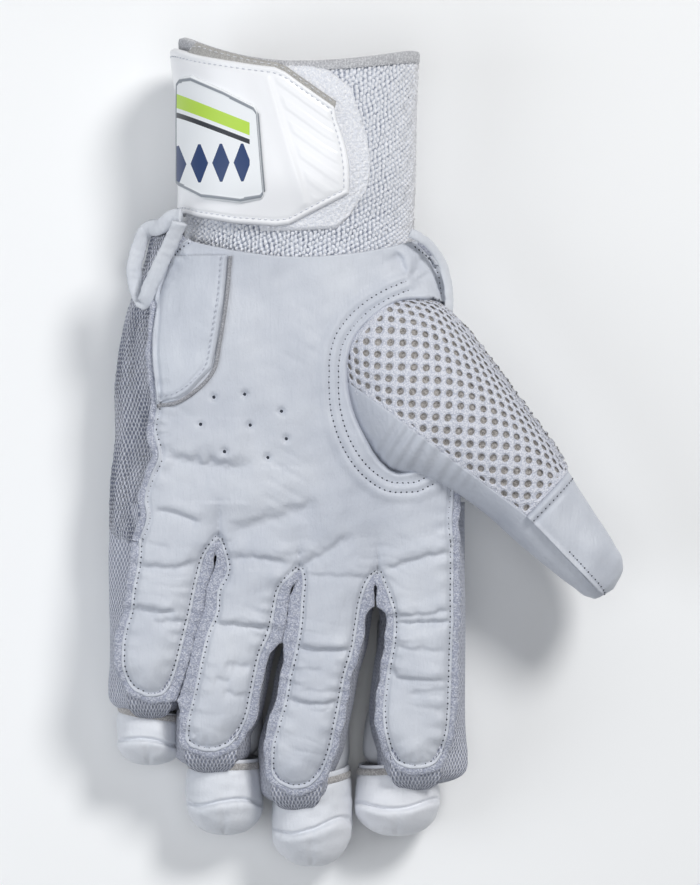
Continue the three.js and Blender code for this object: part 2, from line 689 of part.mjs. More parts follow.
// Outlines on the palm side of the cuff. back is the distance from the strap's end as a share of
// STRAP_REACH, up the height above the strap's lower edge as a share of STRAP_WIDTH.
const STRAP_REACH = 58;
const STRAP_OUTLINE = [
  { back: 1.5, up: 0.17 },
  { back: 1.0, up: 0.155 },
  { back: 0.84, up: 0.06 },
  { back: 0.6, up: 0.01 },
  { back: 0.35, up: 0.01 },
  { back: 0.025, up: 0.19 },
  { back: 0.0, up: 0.27 },
  { back: 0.085, up: 0.73 },
  { back: 0.22, up: 0.86 },
  { back: 0.37, up: 0.97 },
  { back: 0.43, up: 0.99 },
  { back: 0.84, up: 1.02 },
  { back: 1.0, up: 1.07 },
  { back: 1.5, up: 1.09 },
];
const TAPE_OUTLINE = [
  { back: 0.9, up: -0.01 },
  { back: 0.4, up: -0.02 },
  { back: 0.07, up: 0.0 },
  { back: -0.06, up: 0.13 },
  { back: -0.1, up: 0.25 },
  { back: -0.09, up: 0.58 },
  { back: 0.0, up: 0.88 },
  { back: 0.12, up: 0.99 },
  { back: 0.24, up: 1.01 },
  { back: 0.9, up: 1.01 },
];
const BADGE_OUTLINE = [
  { back: 0.98, up: 0.2 },
  { back: 0.84, up: 0.15 },
  { back: 0.52, up: 0.13 },
  { back: 0.48, up: 0.17 },
  { back: 0.5, up: 0.65 },
  { back: 0.54, up: 0.76 },
  { back: 0.84, up: 0.9 },
  { back: 0.98, up: 0.9 },
];
const STRAP_BACK_END = 12; // where the strap is sewn down behind the cuff, right of the middle

function onCuff(outline) {
  const points = outline.map(({ back, up }) => [STRAP_END - back * STRAP_REACH, STRAP_START + up * STRAP_WIDTH]);
  return prism(points, 'z', CUFF_MIDDLE - GAP, FAR);
}

function behindCuff(end, margin) {
  const low = STRAP_START + STRAP_WIDTH * STRAP_OUTLINE[0].up + margin;
  const high = STRAP_START + STRAP_WIDTH * 1.02 - margin;
  return prism([[-FAR, low], [end, low], [end, high], [-FAR, high]], 'z', -FAR, CUFF_MIDDLE);
}

function strapLayers() {
  const patchTop = GAP + TAPE_WALL;
  const strapTop = patchTop + GAP + STRAP_WALL;
  return {
    loop_patch: cuffShell(GAP, patchTop).intersect(onCuff(TAPE_OUTLINE)),
    strap: cuffShell(patchTop + GAP, strapTop).intersect(
      onCuff(STRAP_OUTLINE).add(behindCuff(STRAP_BACK_END, 0)),
    ),
    badge_plate: cuffShell(strapTop + GAP, strapTop + GAP + PATCH_WALL).intersect(onCuff(BADGE_OUTLINE)),
  };
}

// Leather binding: round the rim of the knitted back, and round the vent at its outer corner

function cord(points, radius, steps) {
  const circle = new THREE.Shape().absarc(0, 0, radius, 0, 2 * Math.PI);
  const path = new THREE.CatmullRomCurve3(points);
  const geometry = new THREE.ExtrudeGeometry(circle, {
    steps,
    curveSegments: 4,
    bevelEnabled: false,
    extrudePath: path,
  });
  return solidOf(geometry);
}

// at is a share of PALM_LENGTH or RIM_REACH, out and lift are shares of BINDING_RADIUS from the palm's seam.
const VENT_LOOP = [
  { at: -1.6, out: 0.9, lift: 3.4 },
  { at: -1.4, out: 2.3, lift: 2.6 },
  { at: -0.3, out: 4.4, lift: 1.5 },
  { at: 0.07, out: 4.6, lift: 0.2 },
  { at: 0.15, out: 3.2, lift: -0.3 },
  { at: 0.2, out: 1.9, lift: 0.4 },
  { at: 0.16, out: 1.3, lift: 1.5 },
  { at: 0.08, out: 0.3, lift: 3.2 },
  { at: 0.0, out: -0.1, lift: 4.6 },
  { at: -0.9, out: -0.2, lift: 5.2 },
];

function seamPoint(at, side) {
  const rows = handRows();
  const along = handAt(at);
  const next = Math.max(1, rows.findIndex((row) => row.at >= along));
  const share = (along - rows[next - 1].at) / (rows[next].at - rows[next - 1].at);
  const value = (column) => lerp(rows[next - 1][column], rows[next][column], share);
  return new THREE.Vector3(value(side), -along, value('seam'));
}

function ventLoop() {
  const points = VENT_LOOP.map(({ at, out, lift }) =>
    seamPoint(at, 'left').add(new THREE.Vector3(-out * BINDING_RADIUS, 0, lift * BINDING_RADIUS)),
  );
  return cord(points, BINDING_RADIUS * 0.85, 20).subtract(handGrown);
}

function rimBinding() {
  const rim = handRows()[0];
  const section = offsetPoints(sectionPoints(rim, HAND_STEPS), 0, -KNIT / 2);
  const below = section.filter(([, height], i) => i > HAND_STEPS / 2 && height < rim.seam - BINDING_RADIUS);
  const points = below.map(([side, height]) => new THREE.Vector3(side, -rim.at + BINDING_RADIUS + GAP, height));
  const inner = tube(TO_CUFF, cuffRows(), { top: GAP, steps: CUFF_STEPS });
  return wholeOf(cord(points, BINDING_RADIUS, 18).subtract(inner));
}

// Assembly

const leather = new THREE.MeshStandardMaterial({ color: 0xcdd1d8, roughness: 0.55, metalness: 0 });
const knit = new THREE.MeshStandardMaterial({ color: 0xbfc2cd, roughness: 0.95, metalness: 0 });
const towel = new THREE.MeshStandardMaterial({ color: 0xdcdee4, roughness: 1, metalness: 0 });
const mesh = new THREE.MeshStandardMaterial({ color: 0xd3d4da, roughness: 0.9, metalness: 0 });
const moulded = new THREE.MeshStandardMaterial({ color: 0xeceef2, roughness: 0.4, metalness: 0 });
const badge = new THREE.MeshStandardMaterial({ color: 0xe4e8e6, roughness: 0.35, metalness: 0 });
const tape = new THREE.MeshStandardMaterial({ color: 0xb9babd, roughness: 0.9, metalness: 0 });

const glove = new THREE.Group();

function add(name, solid, material) {
  const piece = new THREE.Mesh(geometryOf(solid), material);
  piece.name = name;
  glove.add(piece);
}

add('palm_leather', palmLeather(), leather);
add('heel_patch', heelPatch(), leather);
add('hand_back', handBack(), knit);
FINGERS.forEach(({ name }, i) => {
  add(name + '_gusset', gusset(i), knit);
  add(name + '_roll', fingerRoll(i), leather);
  add(name + '_back_roll', backRoll(i), leather);
  add(name + '_cap', cap(i), leather);
});
const thumb = thumbPieces();
add('thumb_mesh', thumb.thumb_mesh, mesh);
add('thumb_tip', thumb.thumb_tip, leather);
add('thumb_leather', thumb.thumb_leather, leather);
add('thumb_pad', thumbPad(), leather);
add('cuff', cuff(), towel);
add('cuff_edge_tape', edgeTape(), tape);
const layers = strapLayers();
add('loop_patch', layers.loop_patch, tape);
add('strap', layers.strap, moulded);
add('badge_plate', layers.badge_plate, badge);
add('vent_loop', ventLoop(), leather);
add('rim_binding', rimBinding(), leather);

// The origin goes under the middle of the whole glove, on the ground.
const box = new THREE.Box3().setFromObject(glove);
const middle = box.getCenter(new THREE.Vector3());
glove.position.set(-middle.x, -middle.y, -box.min.z);

export default glove;
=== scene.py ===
import math

import bmesh
import bpy
import numpy as np
from mathutils import Matrix, Vector
from mathutils.bvhtree import BVHTree


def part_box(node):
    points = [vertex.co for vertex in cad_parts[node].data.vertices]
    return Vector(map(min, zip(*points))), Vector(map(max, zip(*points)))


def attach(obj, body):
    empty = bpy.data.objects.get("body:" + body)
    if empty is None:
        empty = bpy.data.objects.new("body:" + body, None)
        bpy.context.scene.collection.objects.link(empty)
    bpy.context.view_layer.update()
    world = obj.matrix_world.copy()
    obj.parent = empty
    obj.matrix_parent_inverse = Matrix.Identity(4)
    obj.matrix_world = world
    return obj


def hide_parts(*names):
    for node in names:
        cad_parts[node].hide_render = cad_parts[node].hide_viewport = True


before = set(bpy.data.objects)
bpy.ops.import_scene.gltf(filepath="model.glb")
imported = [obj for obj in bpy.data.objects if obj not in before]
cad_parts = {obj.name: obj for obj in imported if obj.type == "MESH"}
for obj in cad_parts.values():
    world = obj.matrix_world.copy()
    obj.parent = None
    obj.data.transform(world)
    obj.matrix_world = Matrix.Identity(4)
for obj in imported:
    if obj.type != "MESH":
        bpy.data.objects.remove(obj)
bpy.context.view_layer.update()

# Everything below is measured in millimetres from the middle of the wrist seam:
# x towards the thumb, y towards the cuff, z up out of the palm.
fromSeam = {"middleCap": 4.83, "leatherEnd": -180}  # the middle cap's middle in x, the leather's end in y
low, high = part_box("middle_cap")
wrist = np.array([(low.x + high.x) * 500 - fromSeam["middleCap"],
                  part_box("palm_leather")[0].y * 1000 - fromSeam["leatherEnd"], 0.0])


def inFrame(points):
    return (np.asarray(points, float) + wrist) / 1000


# Camera and stage

view = {
    "centre": (17.7, -63.8),  # what the middle of the picture looks at
    "height": 295,  # millimetres of the palm from the picture's top to its bottom
    "palmHeight": 50, "distance": 1600, "sensor": 36,
}


def addCamera():
    data = bpy.data.cameras.new("camera")
    data.sensor_fit = "VERTICAL"
    data.sensor_height = view["sensor"]
    data.lens = view["sensor"] * view["distance"] / view["height"]
    data.clip_start = 0.05
    camera = bpy.data.objects.new("camera", data)
    camera.location = inFrame((*view["centre"], view["palmHeight"] + view["distance"]))
    bpy.context.scene.collection.objects.link(camera)
    bpy.context.scene.camera = camera


lamps = {
    "key": {"at": (620, 800, 1250), "size": 420, "power": 15.0, "colour": (1.0, 0.99, 0.97)},
    "fill": {"at": (-620, -120, 520), "size": 600, "power": 2.2, "colour": (0.93, 0.96, 1.0)},
    "top": {"at": (0, -60, 1200), "size": 700, "power": 2.7, "colour": (0.98, 0.99, 1.0)},
}


def addLamps():
    for name, lamp in lamps.items():
        data = bpy.data.lights.new(name, "AREA")
        data.shape = "DISK"
        data.size = lamp["size"] / 1000
        data.energy = lamp["power"]
        data.color = lamp["colour"]
        light = bpy.data.objects.new(name, data)
        light.location = Vector(lamp["at"]) / 1000
        light.rotation_euler = (-light.location).to_track_quat("-Z", "Y").to_euler()
        bpy.context.scene.collection.objects.link(light)
    world = bpy.data.worlds.new("studio")
    world.use_nodes = True
    sky = world.node_tree.nodes["Background"]
    sky.inputs["Color"].default_value = (0.92, 0.95, 1.0, 1.0)
    sky.inputs["Strength"].default_value = 0.2
    bpy.context.scene.world = world
    bpy.context.scene.view_settings.view_transform = "Standard"


# Materials

def linear(hexColour):
    parts = [int(hexColour[i:i + 2], 16) / 255 for i in (0, 2, 4)]
    return tuple(p / 12.92 if p <= 0.04045 else ((p + 0.055) / 1.055) ** 2.4 for p in parts) + (1.0,)


def setInputs(tree, node, inputs):
    for key, value in inputs.items():
        if isinstance(value, bpy.types.NodeSocket):
            tree.links.new(value, node.inputs[key])
        else:
            node.inputs[key].default_value = value


def addNode(tree, kind, settings=None, inputs=None):
    node = tree.nodes.new(kind)
    for key, value in (settings or {}).items():
        setattr(node, key, value)
    setInputs(tree, node, inputs or {})
    return node


def newMaterial(name):
    material = bpy.data.materials.new(name)
    material.use_nodes = True
    return material, material.node_tree


def dressed(material, colour, normal=None, roughness=0.5, sheen=0.0, coat=0.0):
    inputs = {"Base Color": colour, "Roughness": roughness, "Sheen Weight": sheen, "Coat Weight": coat}
    if normal is not None:
        inputs["Normal"] = normal
    setInputs(material.node_tree, material.node_tree.nodes["Principled BSDF"], inputs)
    return material


def plain(name, colour, roughness):
    return dressed(newMaterial(name)[0], linear(colour), roughness=roughness)


def ramp(tree, value, stops):
    node = addNode(tree, "ShaderNodeValToRGB", inputs={"Fac": value})
    elements = node.color_ramp.elements
    while len(elements) < len(stops):
        elements.new(0.5)
    for element, (position, colour) in zip(elements, stops):
        element.position = position
        element.color = linear(colour) if isinstance(colour, str) else (colour, colour, colour, 1.0)
    return node.outputs["Color"]


# In these helpers a pitch is the millimetres after which a texture repeats

def objectPlace(tree):
    return addNode(tree, "ShaderNodeTexCoord").outputs["Object"]


def noise(tree, place, pitch, detail=2.0, roughness=0.5, distortion=0.0, kind="FBM"):
    return addNode(tree, "ShaderNodeTexNoise", {"noise_type": kind}, {
        "Vector": place, "Scale": 1000 / pitch, "Detail": detail, "Roughness": roughness,
        "Distortion": distortion}).outputs["Fac"]


def cells(tree, place, pitch, feature="F1"):
    return addNode(tree, "ShaderNodeTexVoronoi", {"feature": feature}, {
        "Vector": place, "Scale": 1000 / pitch}).outputs["Distance"]


def maths(tree, operation, a, b=0.0, c=0.0):
    return addNode(tree, "ShaderNodeMath", {"operation": operation}, {0: a, 1: b, 2: c}).outputs[0]


def mixed(tree, share, first, second, blend="MIX"):
    return addNode(tree, "ShaderNodeMixRGB", {"blend_type": blend}, {
        "Fac": share, "Color1": first, "Color2": second}).outputs["Color"]


def bumped(tree, height, strength, depth, normal=None):
    inputs = {"Height": height, "Strength": strength, "Distance": depth / 1000}
    if normal is not None:
        inputs["Normal"] = normal
    return addNode(tree, "ShaderNodeBump", inputs=inputs).outputs["Normal"]


def attribute(tree, name):
    return addNode(tree, "ShaderNodeAttribute", {"attribute_name": name}).outputs["Fac"]


def flatMap(tree):
    return addNode(tree, "ShaderNodeUVMap", {"uv_map": "flat"}).outputs["UV"]


def split(tree, vector):
    node = addNode(tree, "ShaderNodeSeparateXYZ", inputs={"Vector": vector})
    return node.outputs["X"], node.outputs["Y"]


# Aniline-soft sheepskin: satin, with a fine pebble grain and faint clouds of grey
def sheepskin(name, pale="cdd1d9", dark="b9bec9", roughness=0.5):
    material, tree = newMaterial(name)
    place = objectPlace(tree)
    colour = ramp(tree, noise(tree, place, 38, 5.0, 0.62), [(0.3, dark), (0.68, pale)])
    fibre = noise(tree, place, 1.6, 6.0, 0.7)
    grain = maths(tree, "MULTIPLY_ADD", cells(tree, place, 0.75), 0.5, fibre)
    # fine stretch lines that run slantwise, and soft creases between them
    slant = addNode(tree, "ShaderNodeMapping", inputs={
        "Vector": place, "Rotation": (0.0, 0.0, 0.7), "Scale": (1.0, 0.16, 1.0)}).outputs["Vector"]
    fine = bumped(tree, noise(tree, slant, 1.3, 4.0, distortion=0.6), 0.75, 0.32)
    creases = noise(tree, place, 17, 3.0, distortion=1.2, kind="RIDGED_MULTIFRACTAL")
    soft = bumped(tree, creases, 0.5, -0.6, fine)
    shine = addNode(tree, "ShaderNodeMapRange", inputs={
        "Value": fibre, "To Min": roughness - 0.08, "To Max": roughness + 0.1}).outputs["Result"]
    return dressed(material, colour, bumped(tree, grain, 0.7, 0.1, soft), shine, sheen=0.08)


# Knitted polyester, matt and fuzzy: staggered pits on a flat map, painted dark inside as shade
def openKnit(name, pale, dark, across, along, depth):
    material, tree = newMaterial(name)
    place = flatMap(tree)
    jitter = addNode(tree, "ShaderNodeTexNoise", inputs={"Vector": place, "Scale": 200, "Detail": 2.0})
    x, y = split(tree, mixed(tree, 0.0005, place, jitter.outputs["Color"], "LINEAR_LIGHT"))
    waves = []
    for turn in (1, -1):
        lean = maths(tree, "MULTIPLY", y, turn * math.pi * 1000 / along)
        wave = maths(tree, "MULTIPLY_ADD", x, math.pi * 1000 / across, lean)
        waves.append(maths(tree, "ABSOLUTE", maths(tree, "SINE", wave)))
    pit = maths(tree, "MULTIPLY", *waves)
    fuzz = noise(tree, place, 0.5, 4.0, 0.8)
    height = maths(tree, "MULTIPLY_ADD", fuzz, 0.35, maths(tree, "SUBTRACT", 1.0, pit))
    return dressed(material, ramp(tree, pit, [(0.1, pale), (0.75, dark)]), bumped(tree, height, 1.0, depth),
                   roughness=0.95, sheen=0.25)


# Brushed cotton, pile and thread: loops too fine to model are a two-scale noise, drawn a little coarse, with painted
# shade in the hollows between them
def terry(name, pale, dark, loop, depth):
    material, tree = newMaterial(name)
    place = objectPlace(tree)
    fluff = noise(tree, place, loop * 2, 8.0, 0.75)
    height = maths(tree, "MULTIPLY_ADD", cells(tree, place, loop, "SMOOTH_F1"), -0.8, fluff)
    return dressed(material, ramp(tree, height, [(0.05, dark), (0.5, pale)]), bumped(tree, height, 0.9, depth),
                   roughness=0.97, sheen=0.3)


# Injection-moulded polyurethane: even colour, fine spark-eroded texture
def moulded(name, colour):
    material, tree = newMaterial(name)
    place = objectPlace(tree)
    base = linear(colour)
    tint = mixed(tree, noise(tree, place, 30), (*(part * 0.93 for part in base[:3]), 1.0), base)
    return dressed(material, tint, bumped(tree, noise(tree, place, 0.6, 3.0), 0.5, 0.02),
                   roughness=0.34, coat=0.15)


# Bonded polyester thread, a little greyer than the leather it is sunk into, and the shade inside a hole
def threadMaterial():
    return plain("sewing thread", "b4b8c3", 0.6)


def holeMaterial():
    return plain("hole shade", "30343e", 1.0)


# Numbers

def smoothStep(value, low, high):
    share = np.clip((value - low) / (high - low), 0, 1)
    return share * share * (3 - 2 * share)


def between(low, high, share):
    return low + (high - low) * share


def bell(away, width):
    return np.exp(-(away / width) ** 2)


def powered(value, power):
    # a power that keeps the sign
    return np.sign(value) * np.abs(value) ** power


def unit(vectors):
    return vectors / np.maximum(np.linalg.norm(vectors, axis=1, keepdims=True), 1e-9)


def reachAlong(points):
    # how far along a line each of its points is
    return np.concatenate(([0], np.cumsum(np.linalg.norm(np.diff(points, axis=0), axis=1))))


# A few slow waves stand for random unevenness, from -1 to 1, the same in every run
def uneven(x, y, size, seed=0, count=7):
    dice = np.random.default_rng(seed)
    total = np.zeros(np.shape(x))
    for _ in range(count):
        angle = dice.uniform(0, 2 * math.pi)
        length = size * dice.uniform(0.6, 1.6)
        phase = dice.uniform(0, 2 * math.pi)
        total = total + np.sin((x * math.cos(angle) + y * math.sin(angle)) * 2 * math.pi / length + phase)
    return total / count ** 0.5 / 1.4


# A smooth curve through a table's values: the slope at each key is the mean of its neighbours'
def curveThrough(keys, values, at):
    keys = np.asarray(keys, float)
    values = np.asarray(values, float)
    if keys[0] > keys[-1]:
        keys, values = keys[::-1], values[::-1]
    slopes = np.gradient(values, keys)
    steps = np.diff(values) / np.diff(keys)
    for i in range(1, len(keys) - 1):
        if steps[i - 1] * steps[i] <= 0:
            slopes[i] = 0
    at = np.clip(at, keys[0], keys[-1])
    i = np.clip(np.searchsorted(keys, at, side="right") - 1, 0, len(keys) - 2)
    span = keys[i + 1] - keys[i]
    t = (at - keys[i]) / span
    return ((1 + 2 * t) * (1 - t) ** 2 * values[i] + t * (1 - t) ** 2 * span * slopes[i]
            + t * t * (3 - 2 * t) * values[i + 1] + t * t * (t - 1) * span * slopes[i + 1])


def column(rows, index, at):
    # a table's column, read smoothly at a value of its first column
    return curveThrough([row[0] for row in rows], [row[index] for row in rows], at)


def xOf(line, y):
    return curveThrough([p[1] for p in line], [p[0] for p in line], y)


def distanceTo(x, y, line):
    # the distance from each point to a line of [x, y] points, and how far along it that is, 0 to 1
    line = np.asarray(line, float)
    nearest = np.full(np.shape(x), 1e9)
    along = np.zeros(np.shape(x))
    travelled = reachAlong(line)
    for (ax, ay), (bx, by), before, after in zip(line, line[1:], travelled, travelled[1:]):
        length = after - before
        dx, dy = (bx - ax) / length, (by - ay) / length
        t = np.clip((x - ax) * dx + (y - ay) * dy, 0, length)
        d = np.hypot(x - ax - t * dx, y - ay - t * dy)
        closer = d < nearest
        nearest = np.where(closer, d, nearest)
        along = np.where(closer, (before + t) / travelled[-1], along)
    return nearest, along


def evenly(line, pitch):
    # points along a line of [x, y] or [x, y, z] points, a pitch apart, rounded at its corners
    line = np.asarray(line, float)
    reach = reachAlong(line)
    at = np.linspace(0, reach[-1], max(2, int(round(reach[-1] / pitch)) + 1))
    return np.stack([curveThrough(reach, values, at) for values in line.T], axis=1)


def nearTo(x, y, line, reach):
    low, high = np.min(line, axis=0) - reach, np.max(line, axis=0) + reach
    return (x > low[0]) & (x < high[0]) & (y > low[1]) & (y < high[1])


# Mesh work

def valuesOf(items, field, width=3):
    values = np.empty(len(items) * width)
    items.foreach_get(field, values)
    return values.reshape(-1, width)


def cornersOf(mesh):
    corners = np.empty(len(mesh.loops), dtype=np.int32)
    mesh.loops.foreach_get("vertex_index", corners)
    return corners


def keepValue(mesh, name, values):
    mesh.attributes.new(name, "FLOAT", "POINT").data.foreach_set("value", values)


def meshFrom(bm):
    mesh = bpy.data.meshes.new("patch")
    bm.to_mesh(mesh)
    bm.free()
    return mesh


def gridMesh(cols, rows, place, lay=None):
    # a flat grid whose points go where place(u, v) says, with a map in millimetres from lay(u, v)
    bm = bmesh.new()
    bm.loops.layers.uv.new("flat")
    bmesh.ops.create_grid(bm, x_segments=cols, y_segments=rows, size=0.5, calc_uvs=True)
    mesh = meshFrom(bm)
    u, v, _ = valuesOf(mesh.vertices, "co").T + 0.5
    mesh.vertices.foreach_set("co", inFrame(np.stack(place(u, v), axis=1)).ravel())
    if lay:
        flat = np.stack(lay(u, v), axis=1)[cornersOf(mesh)] / 1000
        mesh.uv_layers["flat"].data.foreach_set("uv", flat.ravel())
    return mesh


def welded(meshes, gap=0.02, outwards=False):
    bm = bmesh.new()
    for mesh in meshes:
        bm.from_mesh(mesh)
    bmesh.ops.remove_doubles(bm, verts=bm.verts, dist=gap / 1000)
    if outwards:
        bmesh.ops.recalc_face_normals(bm, faces=bm.faces)
    return meshFrom(bm)


def closed(mesh):
    # fills the open ends of a tube
    bm = bmesh.new()
    bm.from_mesh(mesh)
    bmesh.ops.holes_fill(bm, edges=[edge for edge in bm.edges if edge.is_boundary], sides=0)
    bmesh.ops.recalc_face_normals(bm, faces=bm.faces)
    return meshFrom(bm)


def facingUp(mesh):
    if valuesOf(mesh.polygons, "normal")[:, 2].mean() < 0:
        mesh.flip_normals()


def outOf(mesh, heart=None):
    # turns a shell's faces away from a line along y, through its own middle or another
    normal, centre = valuesOf(mesh.polygons, "normal"), valuesOf(mesh.polygons, "center")
    away = centre - (centre.mean(axis=0) if heart is None else heart)
    if (normal * away * [1, 0, 1]).sum(axis=1).mean() < 0:
        mesh.flip_normals()


def roughen(mesh, amount, size, seed):
    # pushes a mesh's points in and out along its normals by uneven millimetres
    co, normal = valuesOf(mesh.vertices, "co"), valuesOf(mesh.vertices, "normal")
    x, y, z = co.T * 1000
    push = uneven(x + 0.7 * z, y - 0.6 * z, size, seed) + 0.6 * uneven(x - z, y + z, size * 2.7, seed + 1)
    mesh.vertices.foreach_set("co", (co + normal * push[:, None] * amount / 1000).ravel())
    mesh.update()


def addPiece(name, mesh, material, nodes=(), wall=0):
    mesh.name = name
    mesh.materials.append(material)
    for face in mesh.polygons:
        face.use_smooth = True
    piece = bpy.data.objects.new(name, mesh)
    bpy.context.scene.collection.objects.link(piece)
    if wall:
        thick = piece.modifiers.new("wall", "SOLIDIFY")
        thick.thickness = wall / 1000
        thick.offset = -1
    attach(piece, "root")
    if nodes:
        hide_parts(*nodes)
    return piece


def heightsOf(mesh):
    tree = BVHTree.FromPolygons([v.co for v in mesh.vertices], [tuple(face.vertices) for face in mesh.polygons])

    def heightAt(x, y, missing):
        hit = tree.ray_cast(Vector(inFrame((x, y, 200))), Vector((0, 0, -1)))
        return hit[0].z * 1000 if hit[0] else missing
    return heightAt


def normalsAlong(line):
    # unit vectors to the left of a line of [x, y] points
    ahead = unit(np.gradient(line, axis=0))
    return np.stack((-ahead[:, 1], ahead[:, 0]), axis=1)


def sweep(points, sideways, upwards, profile):
    # a band whose section, [out, up] points, follows a line; sideways and upwards are its directions
    section = np.vstack((profile, profile[:1]))
    rows, cols = len(points) - 1, len(section) - 1

    def place(u, v):
        i, j = np.rint(v * rows).astype(int), np.rint(u * cols).astype(int)
        return (points[i] + sideways[i] * section[j, 0:1] + upwards[i] * section[j, 1:2]).T

    return gridMesh(cols, rows, place, lambda u, v: (
        np.interp(u * cols, range(cols + 1), reachAlong(section)),
        np.interp(v * rows, range(rows + 1), reachAlong(points))))


def roundSection(width, height, count=10):
    turn = np.arange(count) * 2 * math.pi / count
    return np.stack((width / 2 * np.cos(turn), height / 2 * np.sin(turn)), axis=1)


def tubeAlong(points, width, height, up=(0, 0, 1), count=10):
    # a round or flat tube along [x, y, z] points
    ahead = unit(np.gradient(points, axis=0))
    side = unit(np.cross(ahead, np.asarray(up, float)))
    return sweep(points, side, np.cross(side, ahead), roundSection(width, height, count))


def dots(matrices, around, high):
    # one small sphere for each matrix
    bm = bmesh.new()
    for matrix in matrices:
        bmesh.ops.create_uvsphere(bm, u_segments=around, v_segments=high, radius=1, matrix=matrix)
    return meshFrom(bm)


def threads(lines, pitch, length, thick):
    # short thread capsules along [x, y, z] lines
    size = Matrix.Diagonal((length / 2000, thick / 2000, thick / 2000, 1))
    matrices = []
    for line in lines:
        line = evenly(line, pitch)
        for a, b in zip(line[:-1], line[1:]):
            turn = Vector(b - a).normalized().to_track_quat("X", "Z").to_matrix().to_4x4()
            matrices.append(Matrix.Translation(Vector(inFrame((a + b) / 2))) @ turn @ size)
    return dots(matrices, 6, 4)


def discs(points, radius, thick, around=8, high=4):
    # flat dark dots for holes: the painted shade inside them
    size = Matrix.Diagonal((radius / 1000, radius / 1000, thick / 1000, 1))
    return dots([Matrix.Translation(Vector(inFrame(point))) @ size for point in points], around, high)


def needleHoles(lines, pitch, radius=0.4):
    # dark dots of painted shade where the needle went in, half a pitch from the stitches' middles
    return discs(np.vstack([evenly(line, pitch) for line in lines]), radius, radius / 2.2)


def patchPlace(shape, u, v):
    # x and y between a shape's lower and upper edge, and the distance between those edges
    share = np.linspace(0, 1, len(shape["lower"]))
    low, high = (np.stack([np.interp(u, share, values) for values in np.transpose(shape[side])])
                 for side in ("lower", "upper"))
    return *between(low, high, v), high[1] - low[1]


# Palm: one leather from the wrist to the four finger ends

hand = {
    # y, left and right seam, swell of the knit left and right, seam height, crown, underside
    "rows": [
        (6.5, -42.0, 41.0, 21.0, 5.3, 36.0, 18.9, 8.4),
        (0.0, -42.0, 43.6, 24.2, 12.6, 37.8, 16.2, 10.0),
        (-12.0, -45.2, 47.3, 26.3, 10.5, 41.9, 11.3, 12.4),
        (-24.0, -48.3, 50.4, 27.3, 8.4, 45.0, 8.6, 15.0),
        (-42.0, -48.8, 52.5, 31.5, 6.3, 45.9, 7.7, 17.0),
        (-60.0, -47.5, 52.7, 33.6, 8.4, 45.9, 6.8, 19.0),
        (-78.0, -50.6, 52.7, 31.5, 10.5, 45.0, 5.9, 20.0),
        (-96.0, -53.6, 52.7, 27.3, 11.6, 43.7, 5.0, 20.0),
    ],
    "left": [(-37.0, 4.0), (-40.6, 1.5), (-44.0, -3.7), (-46.7, -11.3), (-47.6, -22.0), (-48.3, -33.0),
             (-47.0, -50.7), (-48.3, -59.7), (-46.3, -68.0), (-49.0, -74.7), (-51.3, -83.0),
             (-50.4, -88.0), (-53.3, -97.0)],
    "right": [(40.3, 2.7), (44.6, -0.6), (48.2, -5.5), (49.7, -13.0), (50.4, -24.0), (52.5, -42.0),
              (52.7, -60.0), (52.7, -79.7), (52.0, -89.7), (52.7, -98.0)],
    "roots": [(-53.3, -97.0), (-26.3, -96.3), (0.6, -106.5), (26.9, -107.7), (52.7, -97.0)],
    "vents": [(-27.6, -48.7), (-17.3, -47.7), (-5.1, -53.4), (-32.0, -57.8), (-15.6, -58.0),
              (-3.5, -62.5), (-24.0, -66.8), (-9.7, -68.8)],
}

# Each finger's leather: y, left and right edge, from the crotches to the widest row of its end;
# then its end from left to right
fingers = {
    "little": {
        "edges": [(-97.0, -53.3, -26.3), (-100.8, -53.4, -29.9), (-107.2, -54.3, -32.2), (-113.5, -55.6, -33.7),
                  (-119.9, -56.3, -35.0), (-126.2, -58.2, -36.6), (-132.6, -59.2, -38.2), (-139.0, -59.1, -39.9),
                  (-144.8, -56.9, -42.1)],
        "end": [(-56.9, -144.8), (-55.0, -147.0), (-52.5, -148.3), (-50.0, -149.3), (-46.6, -149.0),
                (-44.7, -148.3), (-43.5, -147.0), (-42.1, -144.8)],
    },
    "ring": {
        "edges": [(-96.3, -26.3, 0.6), (-105.9, -23.8, 1.0), (-113.1, -27.0, -5.4), (-120.3, -27.6, -7.1),
                  (-127.6, -30.6, -8.7), (-134.8, -32.4, -11.8), (-142.1, -33.9, -13.5), (-149.3, -35.5, -14.9),
                  (-156.5, -37.3, -16.6), (-163.2, -37.9, -20.4)],
        "end": [(-37.9, -163.2), (-36.5, -165.4), (-33.9, -166.7), (-29.6, -167.6), (-26.8, -167.4),
                (-25.2, -166.7), (-22.4, -165.4), (-20.4, -163.2)],
    },
    "middle": {
        "edges": [(-106.5, 0.6, 26.9), (-110.0, 1.4, 24.6), (-116.2, 0.9, 22.1), (-124.8, 0.3, 20.6),
                  (-133.4, -1.2, 19.2), (-141.9, -3.3, 16.6), (-150.5, -4.8, 15.0), (-159.0, -7.3, 13.3),
                  (-167.6, -9.2, 11.4), (-175.2, -8.7, 8.1)],
        "end": [(-8.7, -175.2), (-6.7, -177.8), (-4.4, -179.1), (-1.4, -180.2), (1.8, -179.9),
                (4.2, -179.1), (5.8, -177.8), (8.1, -175.2)],
    },
    "index": {
        "edges": [(-107.7, 26.9, 52.7), (-115.3, 30.0, 52.6), (-123.0, 31.9, 52.7), (-130.7, 31.5, 52.4),
                  (-138.4, 30.0, 52.2), (-146.1, 28.9, 52.0), (-153.8, 28.2, 51.7), (-161.4, 29.0, 50.9),
                  (-168.8, 31.4, 48.4)],
        "end": [(31.4, -168.8), (33.0, -171.2), (35.4, -172.6), (39.0, -173.4), (42.4, -173.2),
                (45.4, -172.2), (47.0, -171.0), (48.4, -168.8)],
    },
}
fingerNames = ["little", "ring", "middle", "index"]


